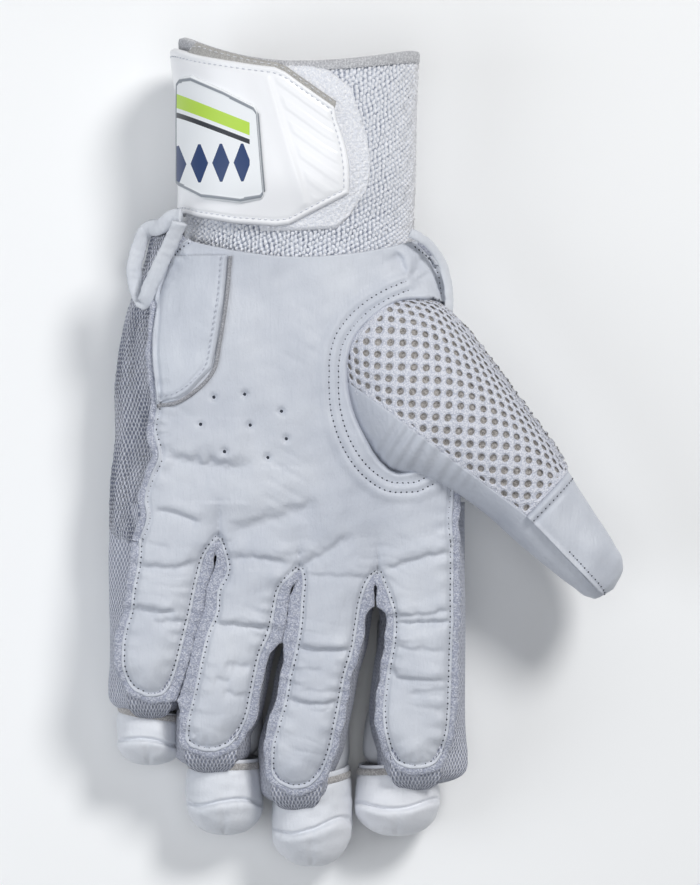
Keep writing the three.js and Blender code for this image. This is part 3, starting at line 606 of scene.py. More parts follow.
def handRow(y):
    return [column(hand["rows"], i, y) for i in range(1, 8)]


def fingerSides(name, y):
    return [column(fingers[name]["edges"], i, y) for i in (1, 2)]


def palmHeight(x, y):
    left, right, _, _, seam, crown, _ = handRow(y)
    share = np.clip(np.abs(x - (left + right) / 2) / ((right - left) / 2), 0, 1)
    rise = np.sqrt(np.clip(1 - share ** (8 / 3), 0, 1))
    return seam + crown * rise ** 0.9


def fingerHeight(name, x, y):
    left, right = fingerSides(name, y)
    end = fingers[name]["end"]
    along = np.clip((y + 100) / (end[3][1] + 100), 0, 1)
    seam = 43.2 - 5.2 * along
    share = np.clip(np.abs(x - (left + right) / 2) / np.maximum((right - left) / 2, 1), 0, 1)
    toEnd = distanceTo(x, y, end)[0]
    roundness = np.sqrt(np.clip(1 - share ** 2.6, 0, 1)) * smoothStep(toEnd, -3, 9) ** 0.8
    return seam + 4.9 * roundness


def outlineOf(name):
    finger = fingers[name]
    i = fingerNames.index(name)
    low, high = hand["roots"][i], hand["roots"][i + 1]
    left = [low] + [(row[1], row[0]) for row in finger["edges"] if row[0] < low[1] - 2]
    right = [(row[2], row[0]) for row in finger["edges"] if row[0] < high[1] - 2][::-1] + [high]
    return left + finger["end"][1:-1] + right


edges = {name: evenly(outlineOf(name), 0.5) for name in fingerNames}
edges["left"] = evenly(hand["left"], 0.5)
edges["right"] = evenly(hand["right"], 0.5)

# Folds that bending has pressed into the leather: how wide and deep they are, and their line
folds = [
    (3.2, 1.3, [(-45.9, -67.8), (-34, -70.6), (-23.5, -71.8), (-14, -71.6)]),
    (0.9, 0.9, [(-47.7, -86.8), (-43.2, -86.5), (-37.1, -88.5), (-31.7, -90.6)]),
    (1.4, 0.4, [(-51.4, -98), (-41.9, -99)]),
    (1.2, 0.9, [(-53.4, -106.5), (-49.3, -105.5), (-40.5, -105.9), (-32.3, -103.1)]),
    (0.9, 1.3, [(-55.5, -120.5), (-52.7, -118.8), (-48.7, -120), (-39.8, -120.5)]),
    (1.3, 0.6, [(-48.7, -123.5), (-44.5, -124.2), (-38, -123.6)]),
    (1.3, 0.9, [(-22.1, -102.5), (-14, -102.1), (-6.5, -103.5), (-1.7, -103.8)]),
    (0.9, 1.2, [(-28.3, -124.6), (-21.4, -124.6), (-15.3, -125.2), (-8.5, -126.6)]),
    (1.5, 0.5, [(-24.9, -138.5), (-15.3, -138.8)]),
    (1.5, 0.5, [(-27.6, -142.6), (-22.1, -144)]),
    (1.5, 0.6, [(-24.9, -146.7), (-20.8, -148.7), (-15.3, -148.7)]),
    (3.4, 1.0, [(-24.9, -94.3), (-11.2, -90.2), (7.7, -84.1)]),
    (2.4, 0.8, [(0.9, -105.4), (9, -101), (19.2, -94.6)]),
    (1.3, 0.6, [(1, -106.5), (7.7, -101.1)]),
    (1.5, 0.4, [(1.7, -108.2), (25, -109)]),
    (0.9, 1.3, [(-0.3, -132.3), (6.7, -133.1), (18.3, -133.4)]),
    (1.5, 0.4, [(-2.4, -139.7), (9.2, -140.1)]),
    (1.5, 0.4, [(-3.2, -147.2), (15.8, -147.6)]),
    (1.0, 0.9, [(-3.6, -149.7), (3.4, -151.3), (10.9, -151.3), (14.6, -149.3)]),
    (1.4, 0.4, [(3.4, -153.8), (14.2, -154.2)]),
    (1.2, 0.9, [(29.1, -107), (35.7, -104.1), (44, -101.6), (51.5, -100.4)]),
    (1.1, 0.9, [(30.8, -121.9), (44, -121.5), (52.3, -119.4)]),
    (0.8, 1.2, [(31.6, -124.4), (39, -124), (52.3, -123.6)]),
    (1.5, 0.5, [(30.8, -132.7), (51.5, -133.9)]),
    (1.1, 0.9, [(30.8, -137.2), (33.2, -142.7), (42.3, -143.5), (51.5, -143.5)]),
    (1.5, 0.5, [(37.4, -148), (51.5, -146.4)]),
    (1.2, 0.6, [(31.6, -165.8), (34.1, -170.8)]),
    # gathers beside the cuff on the thumb's side
    (1.2, 0.9, [(33.0, 0.0), (35.0, -3.6), (36.9, -8.0)]), (1.0, 0.8, [(37.5, -9.5), (39.6, -5.4), (42.0, -0.8)]),
    (0.9, 0.6, [(39.5, -10.0), (42.6, -8.0), (45.0, -6.4)]),
]

thumbRing = [(36.3, -10.0), (26.3, -14.7), (17.3, -22.0), (12.7, -28.7), (10.7, -39.3), (11.3, -52.7),
             (15.7, -66.0), (22.3, -75.0), (30.3, -80.0), (38.7, -80.3), (45.3, -77.7)]
thumbRingInner = [(37.0, -13.0), (28.3, -17.0), (20.0, -23.8), (15.7, -30.0), (13.8, -39.6), (14.3, -51.8),
                  (18.4, -64.4), (24.4, -72.6), (31.2, -77.0), (38.2, -77.3), (44.0, -75.0)]
thumbOpening = [(43.7, -15.0), (34.7, -15.6), (24.9, -21.4), (18.4, -28.8), (15.8, -39.3), (16.9, -50.2),
                (21.7, -62.3), (27.2, -71.0), (33.7, -75.0), (40.3, -74.0), (56.0, -62.0), (56.0, -20.0)]
thumbOpening = [tuple(p) for p in evenly(thumbOpening[:10], 2)] + thumbOpening[10:]


def insideOf(x, y, line):
    # 1 where a point lies inside a closed line, 0 elsewhere
    inside = np.zeros(np.shape(x), bool)
    for (ax, ay), (bx, by) in zip(line, line[1:] + line[:1]):
        if ay != by:
            inside ^= ((ay > y) != (by > y)) & (x < (bx - ax) * (y - ay) / (by - ay) + ax)
    return inside.astype(float)


def creased(x, y):
    # the height that folds, puckers and slow unevenness add to the leather
    add = 0.5 * uneven(x, y, 26, seed=3) + 0.2 * uneven(x, y, 9, seed=4)
    # short wrinkles across the fingers, stronger in some places than in others
    tilt = y + 0.22 * x + 1.6 * uneven(x, y, 16, seed=14)
    where = smoothStep(uneven(x, y, 22, seed=15), -0.5, 1.2) * smoothStep(-y, 84, 108)
    add = add - 0.36 * where * np.clip(np.sin(tilt * 2 * math.pi / 4.4) - 0.25, 0, 1)
    where = smoothStep(uneven(x, y, 30, seed=16), 0.2, 1.0) * (1 - smoothStep(-y, 84, 108))
    add = add - 0.22 * where * np.clip(np.sin((x * 0.5 + y * 0.86) * 2 * math.pi / 5.5), 0, 1)
    for width, depth, line in folds:
        near = nearTo(x, y, line, 12)
        d, along = distanceTo(x[near], y[near], line)
        across = y[near] - np.interp(x[near], [p[0] for p in line], [p[1] for p in line])
        d = np.abs(d + 0.25 * width * uneven(x[near], y[near], 5, seed=int(width * 10)))
        ends = smoothStep(np.minimum(along, 1 - along), -0.02, 0.2)
        steep = np.exp(-(d / (0.6 * width)) ** 2) - 0.45 * np.exp(-((d - 2.6 * width) / (2.0 * width)) ** 2)
        gentle = np.exp(-(d / ((2.6 if depth > 0.7 else 1.3) * width)) ** 1.2)
        add[near] -= 1.45 * ends * depth * np.where(across > 0, steep, gentle)
    # short puckers run in from the seam round each finger
    for i, name in enumerate([*fingerNames, "left", "right"]):
        line = edges[name][::4]
        near = nearTo(x, y, line, 8)
        d, along = distanceTo(x[near], y[near], line)
        length = reachAlong(line)[-1]
        ripple = np.sin(along * length * 2 * math.pi / 5.2 + 2.2 * np.sin(along * length / 7.3 + i))
        strength = 0.5 + 0.5 * np.sin(along * length / 11.0 + i * 2)
        add[near] += 0.42 * ripple * strength * bell(d - 3.0, 2.6)
        add[near] -= 0.8 * bell(d - 1.5, 0.6)  # the row of stitches sinks in
        add[near] += 0.7 * bell(d - 0.45, 0.5)  # and leaves a lip along the edge
    ring, _ = distanceTo(x, y, evenly(thumbRing, 2))
    second, _ = distanceTo(x, y, evenly(thumbRingInner, 2))
    add += 0.7 * smoothStep(4.5 - ring, 0, 3.0) - 0.55 * bell(ring, 0.55) \
        - 0.55 * bell(second, 0.55)
    opening = insideOf(x, y, thumbOpening)
    rim, _ = distanceTo(x, y, thumbOpening[:-2])
    add += 0.6 * bell(rim, 1.0) - 5.5 * opening * smoothStep(rim, 0.2, 2.2)
    for vx, vy in hand["vents"]:
        add -= 1.6 * np.exp(-((x - vx) ** 2 + (y - vy) ** 2) / 1.3)
    return add


knuckleFade = 16.0  # the fingers' knuckle humps fade into the palm over this length


def leatherHeight(x, y):
    total = palmHeight(x, np.maximum(y, -96.0))
    rootY = np.interp(x, [p[0] for p in hand["roots"]], [p[1] for p in hand["roots"]])
    into = smoothStep(rootY - y, -knuckleFade, 2.0)
    for i, name in enumerate(fingerNames):
        low, high = hand["roots"][i][0], hand["roots"][i + 1][0]
        left, right = fingerSides(name, y)
        own = (y < rootY - 1.5) & (x > left - 1.5) & (x < right + 1.5)
        own |= (y >= rootY - 1.5) & (x >= low) & (x < high)
        total[own] = (1 - into[own]) * total[own] + into[own] * fingerHeight(name, x[own], y[own])
    return total + creased(x, y)


def palmPlace(u, v):
    leftY = 4.0 - v * 101.0
    rightY = 2.7 - v * 99.7
    leftX = xOf(hand["left"], leftY)
    rightX = xOf(hand["right"], rightY)
    quarter = np.array([0, 0.25, 0.5, 0.75, 1])
    rootShare = [(p[0] + 53.3) / 106.0 for p in hand["roots"]]
    share = (1 - v) * u + v * np.interp(u, quarter, rootShare)
    x = leftX + (rightX - leftX) * share
    topY = -2.0 + 6.0 * (2 * share - 1) ** 2
    rootY = np.interp(u, quarter, [p[1] for p in hand["roots"]])
    y = topY + (rootY - topY) * v
    y = np.where(u == 0, leftY, np.where(u == 1, rightY, y))
    return np.where(v > 0.9999, np.interp(u, quarter, [p[0] for p in hand["roots"]]), x), \
        np.where(v > 0.9999, rootY, y)


def fingerPlace(name, u, v):
    finger = fingers[name]
    i = fingerNames.index(name)
    (lowX, lowY), (highX, highY) = hand["roots"][i], hand["roots"][i + 1]
    last = finger["edges"][-1]
    leftX = fingerSides(name, lowY + (last[0] - lowY) * v)[0]
    rightX = fingerSides(name, highY + (last[0] - highY) * v)[1]
    x = leftX + (rightX - leftX) * u
    x = np.where(v < 0.0001, lowX + (highX - lowX) * u, x)
    rootY = lowY + (highY - lowY) * u
    endX = last[1] + (last[2] - last[1]) * u
    endY = curveThrough([p[0] for p in finger["end"]], [p[1] for p in finger["end"]], endX)
    return x, rootY + (endY - rootY) * v


def addPalm():
    grain = 0.62
    columns = int(26.5 / grain)
    meshes = []

    def lift(x, y):
        return x, y, leatherHeight(x, y)

    meshes.append(gridMesh(columns * 4, int(102 / grain), lambda u, v: lift(*palmPlace(u, v))))
    for name in fingerNames:
        rows = int((-fingers[name]["end"][3][1] - 98) / grain)
        meshes.append(gridMesh(columns, rows, lambda u, v, name=name: lift(*fingerPlace(name, u, v))))
    mesh = welded(meshes, gap=0.03, outwards=True)
    facingUp(mesh)
    return addPiece("palm", mesh, sheepskin("palm sheepskin"), ["palm_leather"], wall=1.3)


# Towelling flange: a fuzzy band that sticks out under the leather's edge all round

flange = {"out": 2.1, "thick": 2.0, "drop": 1.0}


def outOfLeather(name, line):
    # unit vectors that point away from the leather's middle
    heart = line.mean(axis=0) if name in fingerNames else np.array([0.0, -50.0])
    outwards = normalsAlong(line)
    return outwards if ((line - heart) * outwards).sum(axis=1).mean() > 0 else -outwards


def addFlange(surfaceAt):
    meshes = []
    for i, (name, line) in enumerate(edges.items()):
        if name == "right":
            line = line[::-1]
        count = np.arange(len(line))
        outwards = outOfLeather(name, line)
        width = flange["out"] * (1 + 0.12 * np.sin(count / 9.0 + i) + 0.1 * np.sin(count / 3.1))
        beside = [fingerNames[k] for k in (i - 1, i + 1) if i < 4 and 0 <= k < 4]
        for other in beside:
            half = distanceTo(line[:, 0], line[:, 1], edges[other][::3])[0] / 2
            filled = np.where(half < 4.4, half + 0.1, 0.9 * np.exp(-(half - 4.4) / 1.2) * 4.5)
            width = np.maximum(width, filled)
        z = np.array([surfaceAt(x, y, 44.0) for x, y in line - outwards * 1.0]) - flange["drop"]
        middle = line + outwards * (width[:, None] / 2 - 0.6)
        points = np.column_stack((middle, z))
        sideways = np.column_stack((outwards * (width[:, None] + 1.2) / 2, np.zeros(len(line))))
        upwards = np.zeros((len(line), 3))
        upwards[:, 2] = flange["thick"] / 2
        meshes.append(welded([sweep(points, sideways, upwards, roundSection(2, 2, 12))]))
    mesh = welded(meshes, gap=0.001, outwards=True)
    roughen(mesh, 0.13, 1.6, seed=5)
    # the towelling's darker hollows are painted shade
    addPiece("flange", mesh, terry("towelling edge", "e0e3ec", "9fa4b6", loop=0.5, depth=0.6))


# Knitted back of the hand and the fingers' gussets: the underside of each section

def underside(theta, left, right, swellLeft, swellRight, seam, floor):
    # theta from 0, the left seam, through pi / 2, the bottom, to pi, the right seam
    across = -np.cos(theta)
    height = np.sin(theta)
    swell = np.where(across < 0, swellLeft, swellRight)
    x = (left + right) / 2 + ((right - left) / 2 + swell * height) * powered(across, 0.4)
    return x, seam - (seam - floor) * height ** 0.7


def evenTheta(share, width=110, depth=26):
    # spreads points evenly round the flat-bottomed section instead of bunching them at its corners
    theta = np.linspace(0, math.pi, 400)
    x, z = underside(theta, -width / 2, width / 2, 10, 10, depth, 0)
    lengths = reachAlong(np.stack((x, z), axis=1))
    return np.interp(share, lengths / lengths[-1], theta), lengths[-1]


def addHandBack():
    pitch = 0.75
    length = evenTheta(0.5)[1] + 30

    def place(u, v):
        y = 6.5 - v * 106.5 - 8 * smoothStep(u, 0.72, 1) * (1 - v)
        left, right, swellLeft, swellRight, seam, _, floor = handRow(y)
        swellRight = swellRight - 5 * smoothStep(-y, 20, 60)
        swellLeft = swellLeft * (1 - 0.35 * smoothStep(-y, 92, 101))
        x, z = underside(evenTheta(u)[0], left, right, swellLeft, swellRight, seam - 1.2, floor)
        return x, y, z

    mesh = gridMesh(int(length / pitch), int(106.5 / pitch), place, lambda u, v: (u * length, v * 106.5))
    outOf(mesh)
    honeycomb(mesh, 0.6)
    roughen(mesh, 0.12, 3.0, seed=9)
    # the dark colour is the painted shade in the knit's pits, darker than the gussets'
    knit = openKnit("polyester net knit", "e2e5f1", "737a90", across=1.6, along=2.8, depth=0.9)
    addPiece("back_knit", mesh, knit, ["hand_back"], wall=2)


def honeycomb(mesh, depth):
    # sinks the knit's pits into the mesh, using its own map
    at = np.zeros((len(mesh.vertices), 2))
    at[cornersOf(mesh)] = valuesOf(mesh.uv_layers["flat"].data, "uv", 2) * 1000
    pit = np.abs(np.sin(math.pi * (at[:, 0] / 1.7 + at[:, 1] / 3.0))) * \
        np.abs(np.sin(math.pi * (at[:, 0] / 1.7 - at[:, 1] / 3.0)))
    co, normal = valuesOf(mesh.vertices, "co"), valuesOf(mesh.vertices, "normal")
    mesh.vertices.foreach_set("co", (co - normal * pit[:, None] * depth / 1000).ravel())
    mesh.update()


def addGussets():
    for name in fingerNames:
        finger = fingers[name]
        keys = [row[0] for row in finger["edges"]]
        root, leatherEnd = -84.0, finger["end"][3][1]
        tip = leatherEnd - 6.5
        length = root - tip

        def sides(y, name=name, finger=finger, keys=keys, leatherEnd=leatherEnd, tip=tip):
            held = np.clip(y, keys[-1], keys[0])
            left, right = fingerSides(name, held)
            past = np.clip((keys[-1] - 3 - y) / (keys[-1] - 3 - tip), 0, 1)
            narrow = np.clip(1 - past ** 3, 0, 1) ** 0.45
            along = np.clip((y + 100) / (leatherEnd + 100), 0, 1)
            seam = 42.4 - 5.2 * along - 9.0 * past ** 2.2
            floor = 20 - 3 * along
            floor = floor + (seam - floor) * (1 - narrow) * 0.6
            middle = (left + right) / 2
            half = (right - left) / 2 * narrow
            swellLeft, swellRight = 9.0 + 0 * y, 9.0 + 0 * y
            if name == "little":
                swellLeft = (left + 64.6) * 1.75
            if name == "index":
                swellRight = (57.6 - right) * 1.8
            return middle - half, middle + half, swellLeft * narrow, swellRight * narrow, seam, floor

        def below(u, v, sides=sides, root=root, length=length):
            y = root - length * v
            x, z = underside(evenTheta(u, 22, 20)[0], *sides(y))
            return x, y, z

        def above(u, v, sides=sides, keys=keys, tip=tip):
            y = keys[-1] + 8 + (tip - keys[-1] - 8) * v
            left, right, _, _, seam, _ = sides(y)
            return left + (right - left) * u, y, seam - 0.3 + 0.8 * np.sin(math.pi * u)

        around = 66
        lower = gridMesh(int(around / 0.6), int(length / 0.6), below, lambda u, v: (u * around, v * length))
        upper = gridMesh(34, 30, above, lambda u, v: (u * 20, v * 20))
        mesh = welded([lower, upper], gap=0.01)
        outOf(mesh)
        knit = openKnit(name + " net knit", "e2e5f1", "8f95a9", across=1.5, along=2.6, depth=0.7)
        addPiece(name + "_knit", mesh, knit, [name + "_gusset"], wall=1.6)


# Thumb: a tube along its own slanted line. side 0 is the outer edge, pi the inner one, more is below.

thumb = {
    "angle": math.radians(-43.8), "middle": 42.0,
    # distance along, inner edge, outer edge, crown, depth below the middle
    "rows": [(31.4, -11.0, 10.1, 10.0, 10.8), (36.7, -17.5, 14.7, 14.4, 14.4), (44.4, -23.9, 20.2, 17.6, 16.6),
             (55.1, -29.4, 21.4, 20.0, 18.0), (70.4, -31.7, 19.6, 21.0, 18.0), (81.1, -26.7, 17.7, 20.0, 17.5),
             (93.3, -21.9, 15.4, 18.4, 16.7), (107.1, -19.6, 12.9, 15.6, 15.7), (118.6, -19.3, 9.2, 12.8, 14.4),
             (131.6, -18.4, 6.0, 10.4, 12.2), (144.6, -17.0, 2.8, 8.0, 9.0), (150.7, -15.7, 0.3, 5.4, 6.3),
             (153.2, -13.4, -2.9, 3.0, 3.4), (154.6, -8.2, -8.0, 0.1, 0.1)],
    "tipSeam": 117.0,
    "sideSeam": [(42.8, -20.2), (117.0, -11.0), (153.0, -12.0)],  # where the outer panel ends, inwards
    "lattice": {"at": (19.6, -29.5), "across": (3.81, -0.42), "down": (0.0, -3.8), "hole": 2.35},
}


def thumbRow(along):
    return [column(thumb["rows"], i, along) for i in range(1, 5)]


def fromThumbLine(along, b):
    # x and y of a point so far along the thumb's line and b beside it
    c, s = math.cos(thumb["angle"]), math.sin(thumb["angle"])
    return along * c - b * s, along * s + b * c


def thumbPoint(along, angle):
    left, right, crown, depth = thumbRow(along)
    across = np.cos(angle)
    height = np.abs(np.sin(angle))
    top = np.sin(angle) >= 0
    side = np.sign(across) * np.abs(across) ** np.where(top, 1.0, 0.8)
    b = (left + right) / 2 + (right - left) / 2 * side
    z = thumb["middle"] + np.where(top, crown * height ** 0.9, -depth * height ** 0.7)
    return *fromThumbLine(along, b), z, b


def thumbAngle(along, b):
    # the angle on the top half at which the thumb is b to the side of its line
    left, right, _, _ = thumbRow(along)
    return np.arccos(np.clip((b - (left + right) / 2) / ((right - left) / 2), -1, 1))


def sideSeamAt(along):
    return np.interp(along, [p[0] for p in thumb["sideSeam"]], [p[1] for p in thumb["sideSeam"]])


# White spacer mesh: round holes on a square lattice are sunk in, and painted dark inside by their own attribute as
# shade; the yarn is painted a little darker in its hollows as shade
def spacerMesh():
    material, tree = newMaterial("spacer mesh")
    place = objectPlace(tree)
    yarn = cells(tree, place, 0.55)
    # painted shade inside the holes
    inside = ramp(tree, noise(tree, place, 0.9, 5.0, 0.8), [(0.36, "5f5c5a"), (0.62, "bdb9b6")])
    outside = ramp(tree, yarn, [(0.05, "f0f1f7"), (0.75, "bfc3d0")])
    mask = ramp(tree, attribute(tree, "hole"), [(0.42, 0.0), (0.62, 1.0)])
    return dressed(material, mixed(tree, mask, outside, inside), bumped(tree, yarn, 0.9, -0.3), roughness=0.85)


def addThumbMesh():
    start, end, pitch = 33.0, thumb["tipSeam"], 0.42
    holes = []

    def place(u, v):
        along = start + (end - start) * v
        inner = thumbAngle(along, np.maximum(sideSeamAt(along), -60))
        inner = np.where(along < 50, math.pi * 0.98 + (inner - math.pi * 0.98) * smoothStep(along, 42, 50), inner)
        angle = inner * u
        x, y, z, b = thumbPoint(along, angle)
        # distance over the surface from the ridge, so the holes keep their size on the steep sides
        left, right, crown, _ = thumbRow(along)
        half = (right - left) / 2
        middle = (left + right) / 2
        steep = np.arcsin(np.clip((b - middle) / half, -1, 1))
        reach = middle + half * (steep + (crown / half) * 0.35 * steep ** 3) * 0.86
        px, py = fromThumbLine(along, reach)
        net = thumb["lattice"]
        dx, dy = px - net["at"][0], py - net["at"][1]
        i = dx / net["across"][0]
        j = (dy - i * net["across"][1]) / net["down"][1]
        i, j = i - np.rint(i), j - np.rint(j)
        away = np.hypot(i * net["across"][0], i * net["across"][1] + j * net["down"][1])
        border = np.minimum(np.minimum(u, 1 - u) * 60, np.minimum(v, 1 - v) * 84)
        hole = 1 - smoothStep(away, net["hole"] / 2 - 0.45, net["hole"] / 2 + 0.35)
        hole = hole * smoothStep(border, 1.5, 2.5)
        holes.append(hole)
        return x, y, z - 1.3 * hole * smoothStep(u, 0.03, 0.18) - 0.7 * bell(border, 0.8)

    mesh = gridMesh(int(66 / pitch), int(84 / pitch), place)
    keepValue(mesh, "hole", holes[0].astype(np.float32))
    facingUp(mesh)
    addPiece("thumb_net", mesh, spacerMesh(), ["thumb_mesh"], wall=1.3)


def addThumbTip():
    start, end = thumb["tipSeam"] - 0.8, thumb["rows"][-1][0]

    def place(u, v):
        along = start + (end - start) * v ** 0.9
        inner = thumbAngle(along, sideSeamAt(along))
        x, y, z, b = thumbPoint(along, inner * u)
        folds = 0.45 * uneven(x, y, 15, seed=21) * smoothStep(v, 0, 0.2)
        rim = np.exp(-((1 - u) * 28 / 1.1) ** 2)  # rolled edge over the inner panel
        lip = 0.5 * bell(v * 36 - 0.9, 0.8) - 0.6 * bell(v * 36 - 2.6, 0.6)
        lift = (1.1 + folds + 1.0 * rim) * (1 - smoothStep(v, 0.92, 1))  # none at the very end, which closes
        return x, y, z + lift + lip - 1.2 * np.exp(-(v * 36 / 0.5) ** 2)

    mesh = gridMesh(60, 72, place)
    facingUp(mesh)
    share = np.linspace(0.06, 0.97, 60)
    across = np.stack(place(share, np.full(60, (2.6 / 36) ** (1 / 0.9))), axis=1)
    edge = np.stack(place(np.full(60, 1 - 2.6 / 28), np.linspace(0.45, 0.97, 60)), axis=1)
    addPiece("thumb_stitches", threads([across, edge], 1.9, 1.05, 0.42), threadMaterial())
    addPiece("thumb_needle_hole_shade", needleHoles([across, edge], 1.9, 0.3), holeMaterial())
    addPiece("thumb_tip_leather", mesh, sheepskin("thumb tip sheepskin"), ["thumb_tip"], wall=1.3)


def addThumbLeather():
    # everything under the mesh and the tip, from the inner seam round below to the outer edge
    def place(u, v):
        first, last = thumb["rows"][0][0], thumb["rows"][-1][0]
        along = first + (last - first) * v
        inner = thumbAngle(along, sideSeamAt(along)) - 0.03
        angle = inner + (2 * math.pi + 0.02 - inner) * u
        x, y, z, b = thumbPoint(along, angle)
        wrinkle = smoothStep(along, 56, 66) * (1 - smoothStep(along, 84, 100)) * (1 - smoothStep(u, 0.15, 0.4))
        lines = np.sin((along + 0.25 * b) * 2 * math.pi / 4.6 + 1.2 * np.sin(along / 3.7))
        return x, y, z + wrinkle * 0.5 * lines + 0.2 * uneven(x, y, 12, seed=22)

    mesh = welded([gridMesh(120, 180, place)], gap=0.01, outwards=True)
    addPiece("thumb_inner", mesh, sheepskin("thumb inner sheepskin"), ["thumb_leather"], wall=1.2)


# Cuff: a towelling tube that flares towards its free edge, open for the wrist

cuff = {
    "middle": 33.0, "length": 60.0, "tuck": 6.0, "wall": 3.4,
    # y, left, right and height
    "rows": [(-6.0, -37.5, 38.3, 37.1), (0.0, -37.5, 38.3, 37.1), (8.4, -37.5, 38.7, 40.6), (21.6, -36.9, 39.5, 51.0),
             (42.0, -36.9, 39.9, 55.1), (60.0, -39.5, 40.7, 58.0), (66.0, -40.0, 41.0, 58.6)],
    "freeEdge": (9.0, 4.5),  # how far the free edge climbs at its left and right side
}
cuffHeart = inFrame((0.0, 30.0, cuff["middle"]))


def cuffSection(theta, y):
    left, right, high = (column(cuff["rows"], i, y) for i in (1, 2, 3))
    across = np.cos(theta)
    height = np.abs(np.sin(theta))
    x = (left + right) / 2 + (right - left) / 2 * powered(across, 0.9)
    z = cuff["middle"] + np.where(np.sin(theta) >= 0, height ** 0.9, -height ** 0.7) * high / 2
    return x, z, right


def cuffPoint(theta, y, out=0.0):
    x, z, right = cuffSection(theta, y)
    ax, az, _ = cuffSection(theta - 0.02, y)
    bx, bz, _ = cuffSection(theta + 0.02, y)
    size = np.hypot(bx - ax, bz - az)
    rise = np.where(x < 0, cuff["freeEdge"][0], cuff["freeEdge"][1])
    lift = rise * (x / right) ** 2 * np.clip(y / cuff["length"], 0, 1.1) ** 3
    return x + (bz - az) / size * out, y + lift, z - (bx - ax) / size * out


def cuffTheta(x, y):
    # the angle on the palm side at which the cuff's section is x to the side
    left, right = (column(cuff["rows"], i, y) for i in (1, 2))
    share = np.clip((x - (left + right) / 2) / ((right - left) / 2), -1, 1)
    return np.arccos(powered(share, 1 / 0.9))


def roundCuff(share):
    # theta at an even share of the way round, from the right side over the palm side
    theta = np.linspace(0, 2 * math.pi, 721)
    x, z, _ = cuffSection(theta, 40.0)
    lengths = reachAlong(np.stack((x, z), axis=1))
    return np.interp(share, lengths / lengths[-1], theta), lengths[-1]


# Looped cotton: pale yarn tops, and grey-blue shade between the loops where the nub attribute is low
def towelling():
    material, tree = newMaterial("cotton towelling")
    fluff = noise(tree, objectPlace(tree), 0.7, 6.0, 0.7)
    shade = maths(tree, "MULTIPLY_ADD", fluff, 0.45, attribute(tree, "nub"))
    colour = ramp(tree, shade, [(0.2, "7c8295"), (0.52, "d4d8e1"), (0.9, "f3f4f9")])
    return dressed(material, colour, bumped(tree, fluff, 0.8, 0.3), roughness=0.97, sheen=0.2)


def addCuff():
    pitch = 0.48
    around = roundCuff(0.5)[1]
    nubs = []

    def outside(u, v):
        y = -cuff["tuck"] + (cuff["length"] + cuff["tuck"]) * v
        theta = roundCuff(u)[0]
        s = u * around
        # nubs in slanted rows, each row a yarn's width lower than the last, and looser near the wrist
        rows = 1.62
        slant = (y + 0.5 * s) / rows
        row = np.floor(slant)
        wobble = 0.35 * np.sin(row * 12.9898) + 0.25 * np.sin(s / 3.1 + row)
        nub = np.abs(np.sin(math.pi * slant)) ** 0.8 * (0.55 + 0.45 * np.sin(2 * math.pi * (s / 1.45 + wobble)))
        coarse = 1 + 0.5 * (1 - smoothStep(y, 2, 16))
        fuzz = 0.22 * uneven(s, y, 1.5, seed=31, count=9)
        nubs.append((nub + fuzz).astype(np.float32))
        return cuffPoint(theta, y, 1.4 * nub * coarse + fuzz - 1.0)

    def inside(u, v):
        y = -cuff["tuck"] + (cuff["length"] + cuff["tuck"]) * v
        return cuffPoint(roundCuff(u)[0], y, -cuff["wall"] + 0.3 * uneven(u * 200, y, 2.0, seed=33))

    outer = gridMesh(int(around / pitch), int(66 / pitch), outside)
    keepValue(outer, "nub", nubs[0])
    inner = gridMesh(150, 44, inside)
    keepValue(inner, "nub", [0.6] * len(inner.vertices))
    mesh = welded([outer, inner], gap=0.02)
    outOf(mesh, cuffHeart)
    addPiece("towelling_cuff", mesh, towelling(), ["cuff"])

    def tapePlace(u, v):
        section = np.array([(0.1, -0.6), (0.35, 0.0), (0.35, 1.6), (0.0, 2.4), (-1.6, 2.7), (-3.3, 2.4),
                            (-3.6, 1.6), (-3.6, 0.0), (-3.3, -0.6)])
        j = u * (len(section) - 1)
        out = np.interp(j, range(len(section)), section[:, 0])
        up = np.interp(j, range(len(section)), section[:, 1])
        rib = 0.16 * np.cos(2 * math.pi * v * around / 0.95)
        return cuffPoint(roundCuff(v)[0], cuff["length"] + up, out + rib)

    tape = gridMesh(16, int(around / 0.24), tapePlace, lambda u, v: (u * 9, v * around))
    addPiece("edge_tape", welded([tape], outwards=True),
             terry("ribbed elastic tape", "dddee1", "adaeb3", loop=0.5, depth=0.2), ["cuff_edge_tape"])


# Strap: moulded on one sheet, its end free on the palm side, wrapped round the left side to the back

strap = {
    # position along it, lower edge x and y, upper edge x and y
    "front": [(0.0, 16.8, 18.6, 12.2, 47.2), (0.30, -2.5, 8.4, -3.7, 59.0), (0.37, -7.0, 7.9, -7.0, 60.4),
              (0.56, -20.3, 9.0, -20.0, 61.2), (0.74, -31.3, 11.2, -31.3, 61.6), (0.81, -35.0, 12.6, -35.0, 62.0)],
    "back": (0.81, 12.0),  # from here it goes round to this x behind
    "out": 1.6, "wall": 1.8, "inset": 2.1,  # inset is from the edge to the stitches
}


def strapEdges(t):
    keys = [row[0] for row in strap["front"]]
    return [np.interp(t, keys, [row[i] for row in strap["front"]]) for i in (1, 2, 3, 4)]


